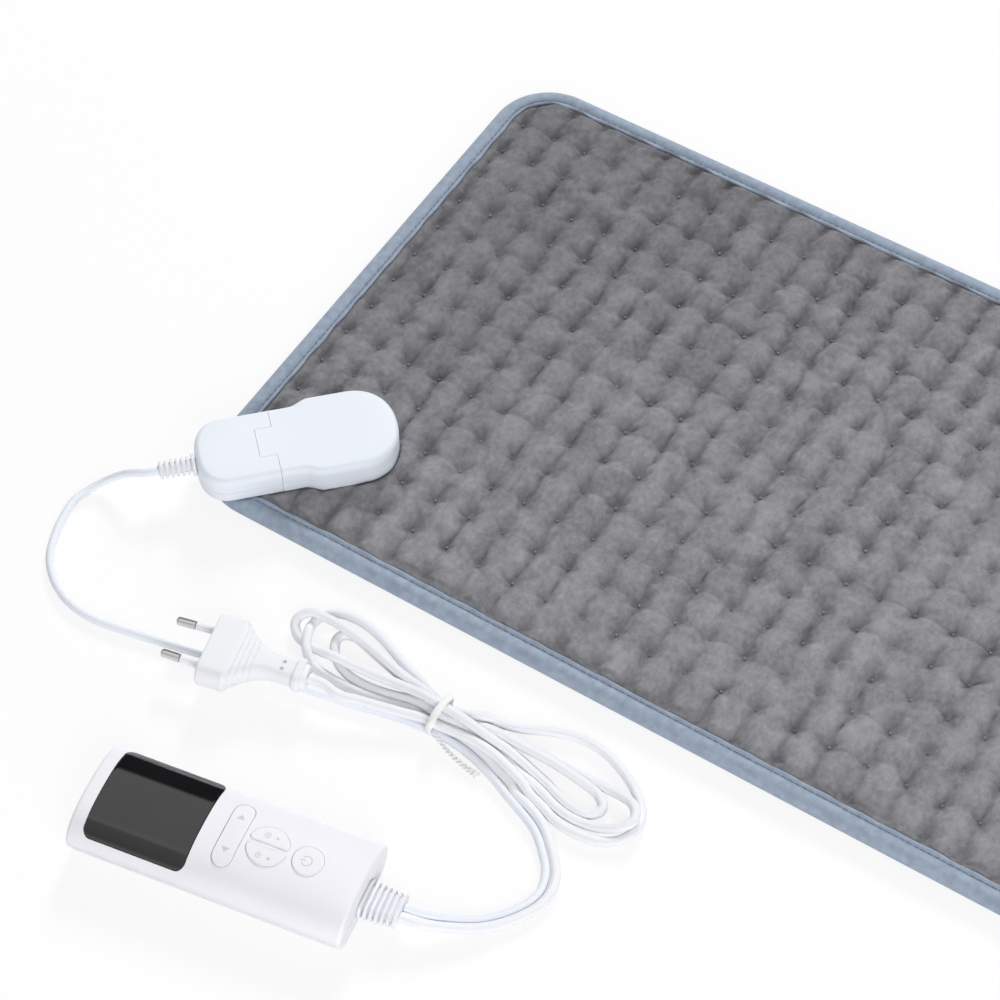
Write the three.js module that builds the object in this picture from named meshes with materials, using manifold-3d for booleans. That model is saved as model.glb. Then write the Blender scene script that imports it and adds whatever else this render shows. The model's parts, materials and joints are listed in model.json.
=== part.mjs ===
// Heating pad with a plug-in connector, a hand controller and a tied mains cord.
// Millimetres, +Z up. The origin is the centre of the pad's underside, +X runs
// along the pad's long side, and the connector sits on the -X -Y corner.
import * as THREE from "three";
import { mergeVertices } from "three/addons/utils/BufferGeometryUtils.js";
import Module from "manifold-3d";

const wasm = await Module();
wasm.setup();

// Clearance between pieces that touch, and the overrun of every cut
const clearance = 0.3;
const overrun = 1;

// How finely round forms are drawn
const sides = { wire: 6, small: 8, relief: 10, pin: 12, powerKey: 16 };
const arcSteps = { corner: 6, cap: 6, shoulder: 4, low: 4, arch: 14, pill: 6, halfMoon: 10, lens: 4 };

// Pad
const pad = { length: 600, width: 300, cornerRadius: 30, edgeHeight: 7 };
const binding = { overlap: 10, thickness: 1, cornerSteps: 6 };
const layers = { back: 2, carrier: 0.6, carrierMargin: 6, edgeSeam: 4 };
const quilt = { crown: 9.4, tuft: 7, columnPitch: 17.75, rowPitch: 19.65, edgeSpace: 5 };
const wire = { diameter: 1.6, runs: 8, endMargin: 38, sideMargin: 45, leadGap: 1.6 };
const cutout = { length: 16, width: 6, height: 1.6 };

// Connector, measured along the corner's diagonal from the pad's sharp corner
const connector = {
  start: 7.6, joint: 44, neckEnd: 57, waistEnd: 61, end: 100.8,
  plugHalfWidth: 19, socketHalfWidth: 22.3, noseLength: 14, endLength: 20.8,
  seat: 7.2, height: 14.2, split: 5.2, wall: 2, shoulder: 4, shoulderInset: 3,
};
const tongue = { length: 8, halfWidth: 8, thickness: 2.4 };
const contacts = {
  count: 3, pitch: 8, pinRadius: 1, pinReach: 8, sleeveRadius: 1.8, sleeveBore: 1.3,
  blockHalfWidth: 13, blockHeight: 7, blockDepth: 10, height: 8,
};
const clamp = { thickness: 2, inset: 5, postRadius: 3.2, screwRadius: 1.2, headRadius: 2.6, headHeight: 1.2 };

// Cords
const mainsCord = { diameter: 4.4, sides: 8 };
const padCord = { diameter: 3.8, sides: 8 };
const hank = {
  centreX: -131.4, centreY: -190.4, loops: 3, stepsPerLoop: 24, sides: 6, lanes: 2,
  left: { reach: 53.6, lanePitch: 15.6, spread: 2, spreadPitch: 3.1, lift: 5 },
  right: { reach: 79.6, lanePitch: 10.5, spread: 4, spreadPitch: 4.45, lift: 1.3 },
  waist: 1.9, waistPitch: 4.4, layerPitch: 5.45, fullest: 2.6, climbLead: 0.25,
};
const tie = { width: 3.4, thickness: 0.9, tailLength: 24, tailWidth: 2.4, tailTurn: -25 };

// Hand controller
const handset = {
  length: 125, width: 50, crown: 22, sideHeight: 9.5, flatHalf: 18, archPower: 2.4, wall: 2.2,
  split: 9.4, centreX: -170.8, centreY: -295.5, turn: 9.6,
};
const lens = { start: 7, endMargin: 72, sideMargin: 3, cornerRadius: 3.5, thickness: 1.2, ledge: 3 };
const board = { startMargin: 12.5, endMargin: 8.5, sideMargin: 5, thickness: 1.6, underside: 9.6 };
const displayModule = { margin: 2, sideMargin: 5, height: 3.2 };
const boss = { radius: 2.7, bore: 1.4, margins: [66.5, 7.5], sideMargin: 8, sinkRadius: 2.9, sinkDepth: 2.2 };
const bossFoot = { radius: 4 };
const screw = { radius: 1.1, headRadius: 2.5, headHeight: 1.4, reach: 14.6 };
const button = { proud: 0.4, hole: 0.35, flange: 0.8, underside: 14.9 };
const rocker = { fromEnd: 58.5, halfLength: 15.3, radius: 4.5, flangeRelief: 1, pivotHeight: 16.4 };
const halfMoon = { fromEnd: 42.8, radius: 9.2, gap: 1.9 };
const power = { fromEnd: 24.7, radius: 6.8 };
const pivot = {
  pinRadius: 0.8, pinHalf: 4, bore: 1.1, bracketHalf: 1.4, bracketDepth: 2.2, slotHalf: 3, slotTop: 18.2,
};
const tact = { size: 6, bodyHeight: 1.8, plungerRadius: 1.7, top: 14.2, rockerOffset: 9.5, moonOffset: 5 };

// Strain reliefs
const handsetRelief = {
  height: 8.2, collarWidth: 20, collarHeight: 10, neckWidth: 17, neckHeight: 7.4,
  coreWidth: 12.4, coreHeight: 5.4, ribWidth: 18, ribHeight: 8.6, ribs: 6, ribPitch: 2.5, ribThickness: 1.3,
  collarThickness: 1.5, cordSpacing: 4.7,
};
const plugEndRelief = {
  radius: 4.3, coreRadius: 2.9, flangeRadius: 5.2, collarRadius: 4.3, flangeThickness: 1.6,
  ribs: 6, ribPitch: 2.5, ribThickness: 1.3, height: 7,
};

// Mains plug, a flat two-pin one
const plug = {
  frontX: -233, frontY: -220.6, turn: 13, halfWidth: 17.8, thickness: 13.7, shoulder: 12, neckStart: 33,
  neckHalf: 6, neckThickness: 9, neckPower: 2.2, neckSteps: 5, length: 46,
  flangeStart: 40.5, flangeThickness: 3.2, flangeHalf: 7.6, flangeHeight: 10.5,
};
const pins = {
  spacing: 18.6, tipSpacing: 17.5, reach: 19, sleeveReach: 10, radius: 2, rodRadius: 1.1, sleeveRadius: 1.9,
  rodSeat: 10,
};
const bridge = { halfWidth: 13, height: 8, depth: 13 };

// Levels of the pad's layers, from the ground up
const carrierBottom = layers.back + clearance;
const carrierTop = carrierBottom + layers.carrier;
const wireAxis = carrierTop + clearance + wire.diameter / 2;
const coverBottom = wireAxis + wire.diameter / 2 + clearance;
const lipInset = binding.overlap + clearance;
const lipX = pad.length / 2 - lipInset;
const lipY = pad.width / 2 - lipInset;
const legTop = binding.thickness + clearance;
const housingBottom = connector.seat + clearance;
const housingTop = housingBottom + connector.height;
const socketStart = connector.joint + clearance;

const root = new THREE.Group();
const padGroup = new THREE.Group();
const connectorGroup = new THREE.Group();
const handsetGroup = new THREE.Group();
const plugGroup = new THREE.Group();
root.add(padGroup, connectorGroup, handsetGroup, plugGroup);

connectorGroup.position.set(-pad.length / 2, -pad.width / 2, 0);
connectorGroup.rotation.z = Math.PI / 4;
handsetGroup.position.set(handset.centreX, handset.centreY, 0);
handsetGroup.rotation.z = THREE.MathUtils.degToRad(handset.turn);
const plugAxisHeight = padCord.diameter + clearance + plug.thickness / 2;
plugGroup.position.set(plug.frontX, plug.frontY, plugAxisHeight);
plugGroup.rotation.z = THREE.MathUtils.degToRad(plug.turn);
for (const group of [padGroup, connectorGroup, handsetGroup, plugGroup]) group.updateMatrixWorld(true);

// A point of one group in the whole part's axes
function worldPoint(group, x, y, z) {
  return new THREE.Vector3(x, y, z).applyMatrix4(group.matrixWorld).toArray();
}

// Materials
function material(color, roughness, metalness = 0) {
  return new THREE.MeshStandardMaterial({ color, roughness, metalness });
}
const plush = material(0x87878b, 0.95);
const backPlush = material(0x8f8f93, 0.95);
const tape = material(0xa3adb9, 0.85);
const fleece = material(0xd8d8d2, 0.95);
const wireJacket = material(0xc9b9a4, 0.6);
const whiteShell = material(0xeef1f6, 0.35);
const whiteCord = material(0xeceef2, 0.5);
const blackGlass = material(0x141416, 0.08);
const metal = material(0xbfc1c4, 0.3, 1);
const brass = material(0xc8a860, 0.35, 1);
const darkPlastic = material(0x2c2d30, 0.5);
const circuit = material(0x2f6b46, 0.55);
const tiePaper = material(0xf1f2ee, 0.7);

// Booleans on closed meshes
function solid(geometry) {
  const bare = geometry.clone();
  bare.deleteAttribute("normal");
  bare.deleteAttribute("uv");
  const merged = mergeVertices(bare);
  const vertProperties = new Float32Array(merged.attributes.position.array);
  const triVerts = new Uint32Array(merged.index.array);
  return new wasm.Manifold(new wasm.Mesh({ numProp: 3, vertProperties, triVerts }));
}

function geometryOf(manifold) {
  const mesh = manifold.getMesh();
  const geometry = new THREE.BufferGeometry();
  geometry.setAttribute("position", new THREE.BufferAttribute(new Float32Array(mesh.vertProperties), 3));
  geometry.setIndex(new THREE.BufferAttribute(new Uint32Array(mesh.triVerts), 1));
  return geometry;
}

function join(...pieces) {
  return pieces.reduce((whole, piece) => whole.add(piece));
}

function addPart(group, name, shape, look) {
  const geometry = shape.isBufferGeometry ? shape : geometryOf(shape);
  geometry.computeVertexNormals();
  const mesh = new THREE.Mesh(geometry, look);
  mesh.name = name;
  group.add(mesh);
  return mesh;
}

// Copies of one piece, each its own numbered part
function addNumbered(group, name, places, make, look) {
  places.forEach((place, index) => addPart(group, `${name}_${index + 1}`, make(place), look));
}

// Prisms: a flat outline carried straight along one axis
function prismZ(shape, bottom, top) {
  const geometry = new THREE.ExtrudeGeometry(shape, { depth: top - bottom, bevelEnabled: false });
  geometry.translate(0, 0, bottom);
  return solid(geometry);
}

function prismX(shape, start, end) {
  const geometry = new THREE.ExtrudeGeometry(shape, { depth: end - start, bevelEnabled: false });
  const turn = new THREE.Matrix4().makeBasis(
    new THREE.Vector3(0, 1, 0), new THREE.Vector3(0, 0, 1), new THREE.Vector3(1, 0, 0));
  geometry.applyMatrix4(turn);
  geometry.translate(start, 0, 0);
  return solid(geometry);
}

function prismY(shape, halfWidth) {
  const geometry = new THREE.ExtrudeGeometry(shape, { depth: 2 * halfWidth, bevelEnabled: false });
  geometry.rotateX(Math.PI / 2);
  geometry.translate(0, halfWidth, 0);
  return solid(geometry);
}

function block(x0, x1, y0, y1, z0, z1) {
  const geometry = new THREE.BoxGeometry(x1 - x0, y1 - y0, z1 - z0);
  geometry.translate((x0 + x1) / 2, (y0 + y1) / 2, (z0 + z1) / 2);
  return solid(geometry);
}

function rodZ(radius, bottom, top, x = 0, y = 0, count = sides.small) {
  const geometry = new THREE.CylinderGeometry(radius, radius, top - bottom, count);
  geometry.rotateX(Math.PI / 2);
  geometry.translate(x, y, (bottom + top) / 2);
  return solid(geometry);
}

function rodX(radius, start, end, y = 0, z = 0, count = sides.relief) {
  const geometry = new THREE.CylinderGeometry(radius, radius, end - start, count);
  geometry.rotateZ(Math.PI / 2);
  geometry.translate((start + end) / 2, y, z);
  return solid(geometry);
}

function shapeOf(points) {
  return new THREE.Shape(points.map(([x, y]) => new THREE.Vector2(x, y)));
}

function roundedRectangle(halfX, halfY, radius, steps = arcSteps.corner) {
  const points = [];
  for (let corner = 0; corner < 4; corner += 1) {
    const cx = (corner === 0 || corner === 3 ? 1 : -1) * (halfX - radius);
    const cy = (corner < 2 ? 1 : -1) * (halfY - radius);
    for (let step = 0; step <= steps; step += 1) {
      const angle = (corner + step / steps) * Math.PI / 2;
      points.push([cx + radius * Math.cos(angle), cy + radius * Math.sin(angle)]);
    }
  }
  return shapeOf(points);
}

function padOutline(inset) {
  const halfX = pad.length / 2 - inset;
  const halfY = pad.width / 2 - inset;
  return roundedRectangle(halfX, halfY, pad.cornerRadius - inset, binding.cornerSteps);
}

// Connector outlines in the diagonal's own axes: x from the sharp corner inwards, y across it
const plugCapPower = 2.4;
const endCapPower = 2.2;

function capHalfWidth(share, power) {
  return Math.pow(Math.max(0, 1 - Math.pow(1 - share, power)), 1 / power);
}

function mirrored(upper) {
  const lower = upper.slice().reverse().filter(([, y]) => y > 0).map(([x, y]) => [x, -y]);
  return [...upper, ...lower].reverse();
}

function plugHalfOutline(grow) {
  const upper = [];
  for (let step = 0; step <= arcSteps.cap; step += 1) {
    const share = 1 - Math.cos(step / arcSteps.cap * Math.PI / 2);
    const x = connector.start - grow + share * (connector.noseLength + grow);
    upper.push([x, (connector.plugHalfWidth + grow) * capHalfWidth(share, plugCapPower)]);
  }
  upper.push([connector.joint, connector.plugHalfWidth + grow]);
  return mirrored(upper);
}

function socketOutline(grow, start = socketStart) {
  const narrow = connector.plugHalfWidth + grow;
  const upper = [[start, narrow], [connector.neckEnd, narrow],
    [connector.waistEnd, connector.socketHalfWidth + grow]];
  for (let step = 0; step <= arcSteps.cap; step += 1) {
    const share = 1 - Math.sin(step / arcSteps.cap * Math.PI / 2);
    const x = connector.end + grow - share * (connector.endLength + grow);
    upper.push([x, (connector.socketHalfWidth + grow) * capHalfWidth(share, endCapPower)]);
  }
  return mirrored(upper);
}

// A housing with straight walls and rounded top shoulders, drawn through shrinking outlines
function shoulderedHousing(outline) {
  const shoulderSteps = arcSteps.shoulder;
  const rings = [outline(0).map(([x, y]) => [x, y, housingBottom])];
  for (let step = 0; step <= shoulderSteps; step += 1) {
    const angle = step / shoulderSteps * Math.PI / 2;
    const inset = connector.shoulderInset * (1 - Math.cos(angle));
    const z = housingTop - connector.shoulder * (1 - Math.sin(angle));
    rings.push(outline(-inset).map(([x, y]) => [x, y, z]));
  }
  return solid(loft(rings));
}

// A closed skin over stacked rings of equally many points, each ring counter-clockwise
function loft(rings) {
  const count = rings[0].length;
  const vertices = rings.flat();
  const faces = [];
  for (let level = 0; level + 1 < rings.length; level += 1) {
    for (let k = 0; k < count; k += 1) {
      const next = (k + 1) % count;
      const a = level * count + k;
      const b = level * count + next;
      faces.push([a, b, a + count], [b, b + count, a + count]);
    }
  }
  const lowHub = vertices.push(middleOf(rings[0])) - 1;
  const highHub = vertices.push(middleOf(rings[rings.length - 1])) - 1;
  const lastRing = (rings.length - 1) * count;
  for (let k = 0; k < count; k += 1) {
    const next = (k + 1) % count;
    faces.push([next, k, lowHub], [lastRing + k, lastRing + next, highHub]);
  }
  return indexedGeometry(vertices, faces);
}

function middleOf(ring) {
  const xs = ring.map(([x]) => x);
  return [(Math.min(...xs) + Math.max(...xs)) / 2, 0, ring[0][2]];
}

// Quilted cover: sewn tufts at the grid points, a crown in the middle of each cell
function quiltLines(pitch, edge) {
  const each = Math.floor((edge - quilt.edgeSpace) / pitch);
  const lines = [-edge];
  for (let index = -each; index <= each; index += 1) lines.push(index * pitch);
  lines.push(edge);
  return lines;
}

function intoLip(x, y) {
  const radius = pad.cornerRadius - lipInset;
  const overX = Math.abs(x) - (lipX - radius);
  const overY = Math.abs(y) - (lipY - radius);
  const reach = Math.hypot(overX, overY);
  if (overX <= 0 || overY <= 0 || reach <= radius) return [x, y];
  const pull = radius / reach;
  return [Math.sign(x) * (lipX - radius + overX * pull), Math.sign(y) * (lipY - radius + overY * pull)];
}

function quiltedSlab(bottom) {
  const columns = quiltLines(quilt.columnPitch, lipX);
  const rows = quiltLines(quilt.rowPitch, lipY);
  const vertices = [];
  const faces = [];
  const corner = (i, j) => j * columns.length + i;
  for (const y of rows) {
    for (const x of columns) vertices.push([...intoLip(x, y), quilt.tuft]);
  }
  for (let j = 0; j + 1 < rows.length; j += 1) {
    for (let i = 0; i + 1 < columns.length; i += 1) {
      const ring = [corner(i, j), corner(i + 1, j), corner(i + 1, j + 1), corner(i, j + 1)];
      const middle = [0, 1].map((axis) => ring.reduce((sum, at) => sum + vertices[at][axis] / 4, 0));
      const fill = Math.min(1, (columns[i + 1] - columns[i]) / quilt.columnPitch);
      vertices.push([...middle, quilt.tuft + fill * (quilt.crown - quilt.tuft)]);
      const centre = vertices.length - 1;
      ring.forEach((at, k) => faces.push([at, ring[(k + 1) % 4], centre]));
    }
  }
  addSkirt(vertices, faces, rimOf(columns.length, rows.length, corner), bottom);
  return solid(indexedGeometry(vertices, faces));
}

function rimOf(columns, rows, corner) {
  const rim = [];
  for (let i = 0; i < columns - 1; i += 1) rim.push(corner(i, 0));
  for (let j = 0; j < rows - 1; j += 1) rim.push(corner(columns - 1, j));
  for (let i = columns - 1; i > 0; i -= 1) rim.push(corner(i, rows - 1));
  for (let j = rows - 1; j > 0; j -= 1) rim.push(corner(0, j));
  return rim;
}

function addSkirt(vertices, faces, rim, bottom) {
  const lower = rim.map((at) => vertices.push([vertices[at][0], vertices[at][1], bottom]) - 1);
  const hub = vertices.push([0, 0, bottom]) - 1;
  rim.forEach((at, k) => {
    const next = (k + 1) % rim.length;
    faces.push([at, lower[k], rim[next]], [rim[next], lower[k], lower[next]], [lower[k], hub, lower[next]]);
  });
}

function indexedGeometry(vertices, faces) {
  const geometry = new THREE.BufferGeometry();
  geometry.setAttribute("position", new THREE.Float32BufferAttribute(vertices.flat(), 3));
  geometry.setIndex(faces.flat());
  return geometry;
}

function socketFootprint(grow, bottom, top) {
  return atConnector(prismZ(shapeOf(socketOutline(grow, connector.joint)), bottom, top));
}

function plugFootprint(grow, bottom, top) {
  return atConnector(prismZ(shapeOf(plugHalfOutline(grow)), bottom, top));
}

function atConnector(manifold) {
  const geometry = geometryOf(manifold);
  geometry.applyMatrix4(connectorGroup.matrixWorld);
  return solid(geometry);
}

function clampPlaces() {
  const inner = connector.end - clamp.inset - 2 * clamp.postRadius;
  const outer = connector.neckEnd + clamp.inset + clamp.postRadius;
  const side = connector.socketHalfWidth - clamp.inset - clamp.postRadius;
  return [[outer, side], [outer, -side], [inner, 0]];
}

function rodsAt(places, radius, bottom, top) {
  return join(...places.map(([x, y]) => rodZ(radius, bottom, top, x, y)));
}

function clampPosts(radius, bottom, top) {
  return rodsAt(clampPlaces(), radius, bottom, top);
}

// The leads rise through one oblong slot behind the contact block
const leadSlot = { place: 68, halfWidth: 7, halfLength: 2.4 };

function leadSlotCut(grow, bottom, top) {
  return block(leadSlot.place - leadSlot.halfLength - grow, leadSlot.place + leadSlot.halfLength + grow,
    -leadSlot.halfWidth - grow, leadSlot.halfWidth + grow, bottom, top);
}

function padTopCover() {
  const quilted = quiltedSlab(coverBottom);
  const rim = prismZ(padOutline(layers.edgeSeam), layers.back + clearance, pad.edgeHeight - legTop);
  const recess = prismZ(padOutline(lipInset + layers.carrierMargin - clearance), 0, coverBottom);
  const pressed = socketFootprint(clearance, connector.seat, quilt.crown + overrun)
    .add(plugFootprint(clearance, connector.seat, quilt.crown + overrun));
  const posts = atConnector(clampPosts(clamp.postRadius + clearance, 0, quilt.crown + overrun));
  const leads = atConnector(leadSlotCut(clearance, 0, quilt.crown + overrun));
  return quilted.add(rim).subtract(recess).subtract(pressed).subtract(posts).subtract(leads);
}

function padBackCover() {
  const middle = prismZ(padOutline(lipInset), 0, layers.back);
  const edge = prismZ(padOutline(layers.edgeSeam), legTop, layers.back);
  const plate = socketFootprint(clearance - clamp.inset, -overrun, layers.back + overrun);
  return middle.add(edge).subtract(plate);
}

function wireCarrier() {
  const sheet = prismZ(padOutline(lipInset + layers.carrierMargin), carrierBottom, carrierTop);
  const posts = atConnector(clampPosts(clamp.postRadius + clearance, 0, quilt.crown));
  return sheet.subtract(posts);
}

// Binding: a closed C section carried round the pad's outline
function bindingSection() {
  const reach = pad.edgeHeight / 2;
  const t = binding.thickness;
  const top = pad.edgeHeight;
  const bulgeShare = 0.29;
  const outer = [[binding.overlap, top], [reach, top],
    [reach * bulgeShare, top - reach * bulgeShare], [0, reach],
    [reach * bulgeShare, reach * bulgeShare], [reach, 0], [binding.overlap, 0]];
  const inner = [[binding.overlap, t], [reach, t], [t, reach], [reach, top - t], [binding.overlap, top - t]];
  return [...outer, ...inner];
}

function outlineStations(inset) {
  const stations = [];
  for (let corner = 0; corner < 4; corner += 1) {
    const cx = (corner === 0 || corner === 3 ? 1 : -1) * (pad.length / 2 - pad.cornerRadius);
    const cy = (corner < 2 ? 1 : -1) * (pad.width / 2 - pad.cornerRadius);
    for (let step = 0; step <= binding.cornerSteps; step += 1) {
      const angle = (corner + step / binding.cornerSteps) * Math.PI / 2;
      const radius = pad.cornerRadius - inset;
      stations.push([cx + radius * Math.cos(angle), cy + radius * Math.sin(angle)]);
    }
  }
  return stations;
}

function edgeBinding() {
  const rings = bindingSection().map(([inset, z]) => outlineStations(inset).map(([x, y]) => [x, y, z]));
  const count = rings[0].length;
  const vertices = rings.flat();
  const faces = [];
  for (let ring = 0; ring < rings.length; ring += 1) {
    const other = (ring + 1) % rings.length;
    for (let k = 0; k < count; k += 1) {
      const next = (k + 1) % count;
      const a = ring * count + k;
      const b = ring * count + next;
      const c = other * count + next;
      const d = other * count + k;
      faces.push([a, d, b], [b, d, c]);
    }
  }
  const plug = plugFootprint(clearance, connector.seat, pad.edgeHeight + overrun);
  return solid(indexedGeometry(vertices, faces)).subtract(plug);
}

// Tubes: an extrusion of a many-sided section along a smooth curve
function sectionShape(radius, sides) {
  const points = [];
  for (let side = 0; side < sides; side += 1) {
    const angle = (side + 0.5) / sides * 2 * Math.PI;
    points.push([radius * Math.cos(angle), radius * Math.sin(angle)]);
  }
  return shapeOf(points);
}

function tubeAlong(points, diameter, sides, steps) {
  const curve = new THREE.CatmullRomCurve3(points.map(([x, y, z]) => new THREE.Vector3(x, y, z)));
  return new THREE.ExtrudeGeometry(sectionShape(diameter / 2, sides), { steps, extrudePath: curve });
}

// Heating wire: parallel runs joined by half-round bends, starting beside the first lead
function wireRoute() {
  const points = [];
  const bendSteps = 4;
  const runPitch = (pad.width - 2 * wire.sideMargin) / (wire.runs - 1);
  const bend = runPitch / 2;
  const straight = pad.length / 2 - wire.endMargin - bend;
  const lead = worldPoint(connectorGroup, leadSlot.place, -leadSlot.halfWidth / 2, wireAxis);
  for (let run = 0; run < wire.runs; run += 1) {
    const y = (run - (wire.runs - 1) / 2) * runPitch;
    const side = run % 2 === 0 ? 1 : -1;
    const start = run === 0 ? lead[0] + wire.diameter / 2 + wire.leadGap : -side * straight;
    points.push([start, y]);
    points.push([side * straight, y]);
    if (run + 1 === wire.runs) break;
    for (let step = 1; step < bendSteps; step += 1) {
      const angle = step / bendSteps * Math.PI - Math.PI / 2;
      points.push([side * (straight + bend * Math.cos(angle)), y + bend + bend * Math.sin(angle)]);
    }
  }
  return points;
}

function mitredTube(points, radius, sides) {
  const vertices = [];
  const faces = [];
  const along = points.map((at, k) => tangentAt(points, k));
  points.forEach((at, k) => {
    const side = new THREE.Vector3().crossVectors(new THREE.Vector3(0, 0, 1), along[k]).normalize();
    const up = new THREE.Vector3().crossVectors(along[k], side);
    for (let s = 0; s < sides; s += 1) {
      const angle = (s + 0.5) / sides * 2 * Math.PI;
      const out = side.clone().multiplyScalar(radius * Math.cos(angle));
      out.addScaledVector(up, radius * Math.sin(angle));
      vertices.push([at[0] + out.x, at[1] + out.y, at[2] + out.z]);
    }
  });
  for (let k = 0; k + 1 < points.length; k += 1) {
    for (let s = 0; s < sides; s += 1) {
      const next = (s + 1) % sides;
      const a = k * sides + s;
      const b = k * sides + next;
      faces.push([a, b, a + sides], [b, b + sides, a + sides]);
    }
  }
  closeEnd(vertices, faces, 0, sides, true);
  closeEnd(vertices, faces, (points.length - 1) * sides, sides, false);
  return indexedGeometry(vertices, faces);
}

function tangentAt(points, k) {
  const before = points[Math.max(0, k - 1)];
  const after = points[Math.min(points.length - 1, k + 1)];
  return new THREE.Vector3(after[0] - before[0], after[1] - before[1], after[2] - before[2]).normalize();
}

function closeEnd(vertices, faces, first, sides, atStart) {
  for (let s = 1; s + 1 < sides; s += 1) {
    faces.push(atStart ? [first, first + s + 1, first + s] : [first, first + s, first + s + 1]);
  }
}

function heatingWire() {
  const route = wireRoute().map(([x, y]) => [x, y, wireAxis]);
  return mitredTube(route, wire.diameter / 2, sides.wire);
}

function thermalCutout() {
  const bottom = carrierTop + clearance;
  const halfX = cutout.length / 2;
  const halfY = cutout.width / 2;
  return block(-halfX, halfX, -halfY, halfY, bottom, bottom + cutout.height);
}

// Each lead climbs from the carrier through the slot into the socket
function padLead(side) {
  const top = contactHeight - contacts.blockHeight / 4;
  const y = side * leadSlot.halfWidth / 2;
  return rodZ(wire.diameter / 2, carrierTop + clearance, top, leadSlot.place, y, sides.wire);
}

// Socket: the half of the connector that is fixed through the pad
function contactPlaces() {
  const places = [];
  for (let index = 0; index < contacts.count; index += 1) {
    places.push((index - (contacts.count - 1) / 2) * contacts.pitch);
  }
  return places;
}

const contactHeight = housingBottom + contacts.height;
const socketBlockEnd = socketStart + contacts.blockDepth;
const sleeveBlockStart = connector.joint - contacts.blockDepth;

function contactWindow(grow, start, end) {
  return block(start, end, -contacts.blockHalfWidth - grow, contacts.blockHalfWidth + grow,
    contactHeight - contacts.blockHeight / 2 - grow, contactHeight + contacts.blockHeight / 2 + grow);
}

function tonguePrism(grow, end) {
  return block(socketStart - tongue.length - grow, end, -tongue.halfWidth - grow, tongue.halfWidth + grow,
    housingTop - tongue.thickness - grow, housingTop + overrun);
}

function socketHollow() {
  const inner = prismZ(shapeOf(socketOutline(-connector.wall, socketStart + connector.wall)),
    housingBottom + connector.wall, housingTop - connector.wall);
  return inner.add(contactWindow(clearance, socketStart - overrun, socketBlockEnd));
}

const socketSplit = housingBottom + connector.split;

function everything(bottom, top) {
  return block(-connector.end, 2 * connector.end, -connector.end, connector.end, bottom, top);
}

function socketTopShell() {
  const housing = shoulderedHousing((grow) => socketOutline(grow));
  const upper = housing.intersect(everything(socketSplit + clearance, housingTop + overrun));
  const whole = upper.subtract(socketHollow());
  const reachHousing = shoulderedHousing((grow) => plugHalfOutline(grow));
  const lip = reachHousing.intersect(tonguePrism(0, connector.joint));
  const root = block(connector.joint - overrun, socketStart + connector.wall,
    -tongue.halfWidth, tongue.halfWidth, housingTop - tongue.thickness, housingTop);
  const bridgePiece = tonguePrism(0, socketStart + connector.wall).intersect(root);
  const posts = clampPosts(clamp.postRadius, socketSplit + clearance, housingTop - connector.wall + overrun)
    .subtract(clampPosts(clamp.screwRadius + clearance, 0, housingTop - 2 * connector.wall));
  return join(whole, lip, bridgePiece, posts);
}

function socketBaseShell() {
  const housing = shoulderedHousing((grow) => socketOutline(grow));
  const tray = housing.intersect(everything(housingBottom, socketSplit)).subtract(socketHollow());
  const posts = clampPosts(clamp.postRadius, housingBottom, socketSplit);
  return tray.add(posts)
    .subtract(clampPosts(clamp.screwRadius + clearance, 0, housingTop))
    .subtract(leadSlotCut(clearance, 0, housingBottom + connector.wall + overrun));
}

function socketClampPlate() {
  const outline = socketOutline(-clamp.inset, connector.joint + clamp.inset);
  const plate = prismZ(shapeOf(outline), 0, clamp.thickness);
  const posts = clampPosts(clamp.postRadius, 0, connector.seat);
  const heads = clampPosts(clamp.headRadius + clearance, -overrun, clamp.headHeight + clearance);
  return plate.add(posts)
    .subtract(clampPosts(clamp.screwRadius + clearance, -overrun, quilt.crown))
    .subtract(heads);
}

function clampScrew([x, y]) {
  const top = housingTop - 2 * connector.wall - clearance;
  const shank = rodZ(clamp.screwRadius, clamp.headHeight / 2, top, x, y);
  return shank.add(rodZ(clamp.headRadius, clearance, clamp.headHeight, x, y));
}

function contactRod(radius, start, end, y) {
  return rodX(radius, start, end, y, contactHeight, sides.small);
}

function contactBores(radius) {
  return join(...contactPlaces().map((y) => contactRod(radius, 0, connector.end, y)));
}

function socketContactBlock() {
  const body = contactWindow(0, socketStart, socketBlockEnd - clearance);
  return body.subtract(contactBores(contacts.pinRadius + clearance));
}

function contactPin(y) {
  return contactRod(contacts.pinRadius, connector.joint - contacts.pinReach, socketBlockEnd + clearance, y);
}

// Cord half of the connector, which slides off outwards along the diagonal
function plugHalfHollow() {
  const outline = shapeOf(plugHalfOutline(-connector.wall));
  const inner = prismZ(outline, housingBottom + connector.wall, housingTop - connector.wall);
  const reach = connector.joint - connector.wall;
  const short = inner.intersect(block(0, reach, -connector.end, connector.end, 0, housingTop));
  return short.add(contactWindow(clearance, sleeveBlockStart, connector.joint + overrun));
}

const reliefBore = plugEndRelief.coreRadius + clearance;
const reliefHeight = housingBottom + plugEndRelief.height;

function reliefHole() {
  return rodX(reliefBore, 0, connector.start + connector.noseLength, 0, reliefHeight);
}

function plugScrewPlaces() {
  const x = connector.start + connector.noseLength;
  const y = connector.plugHalfWidth - connector.wall / 2 - clamp.postRadius;
  return [[x, y], [x, -y]];
}

function plugPosts(radius, bottom, top) {
  return rodsAt(plugScrewPlaces(), radius, bottom, top);
}

const connectorSplit = housingBottom + connector.split;

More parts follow.
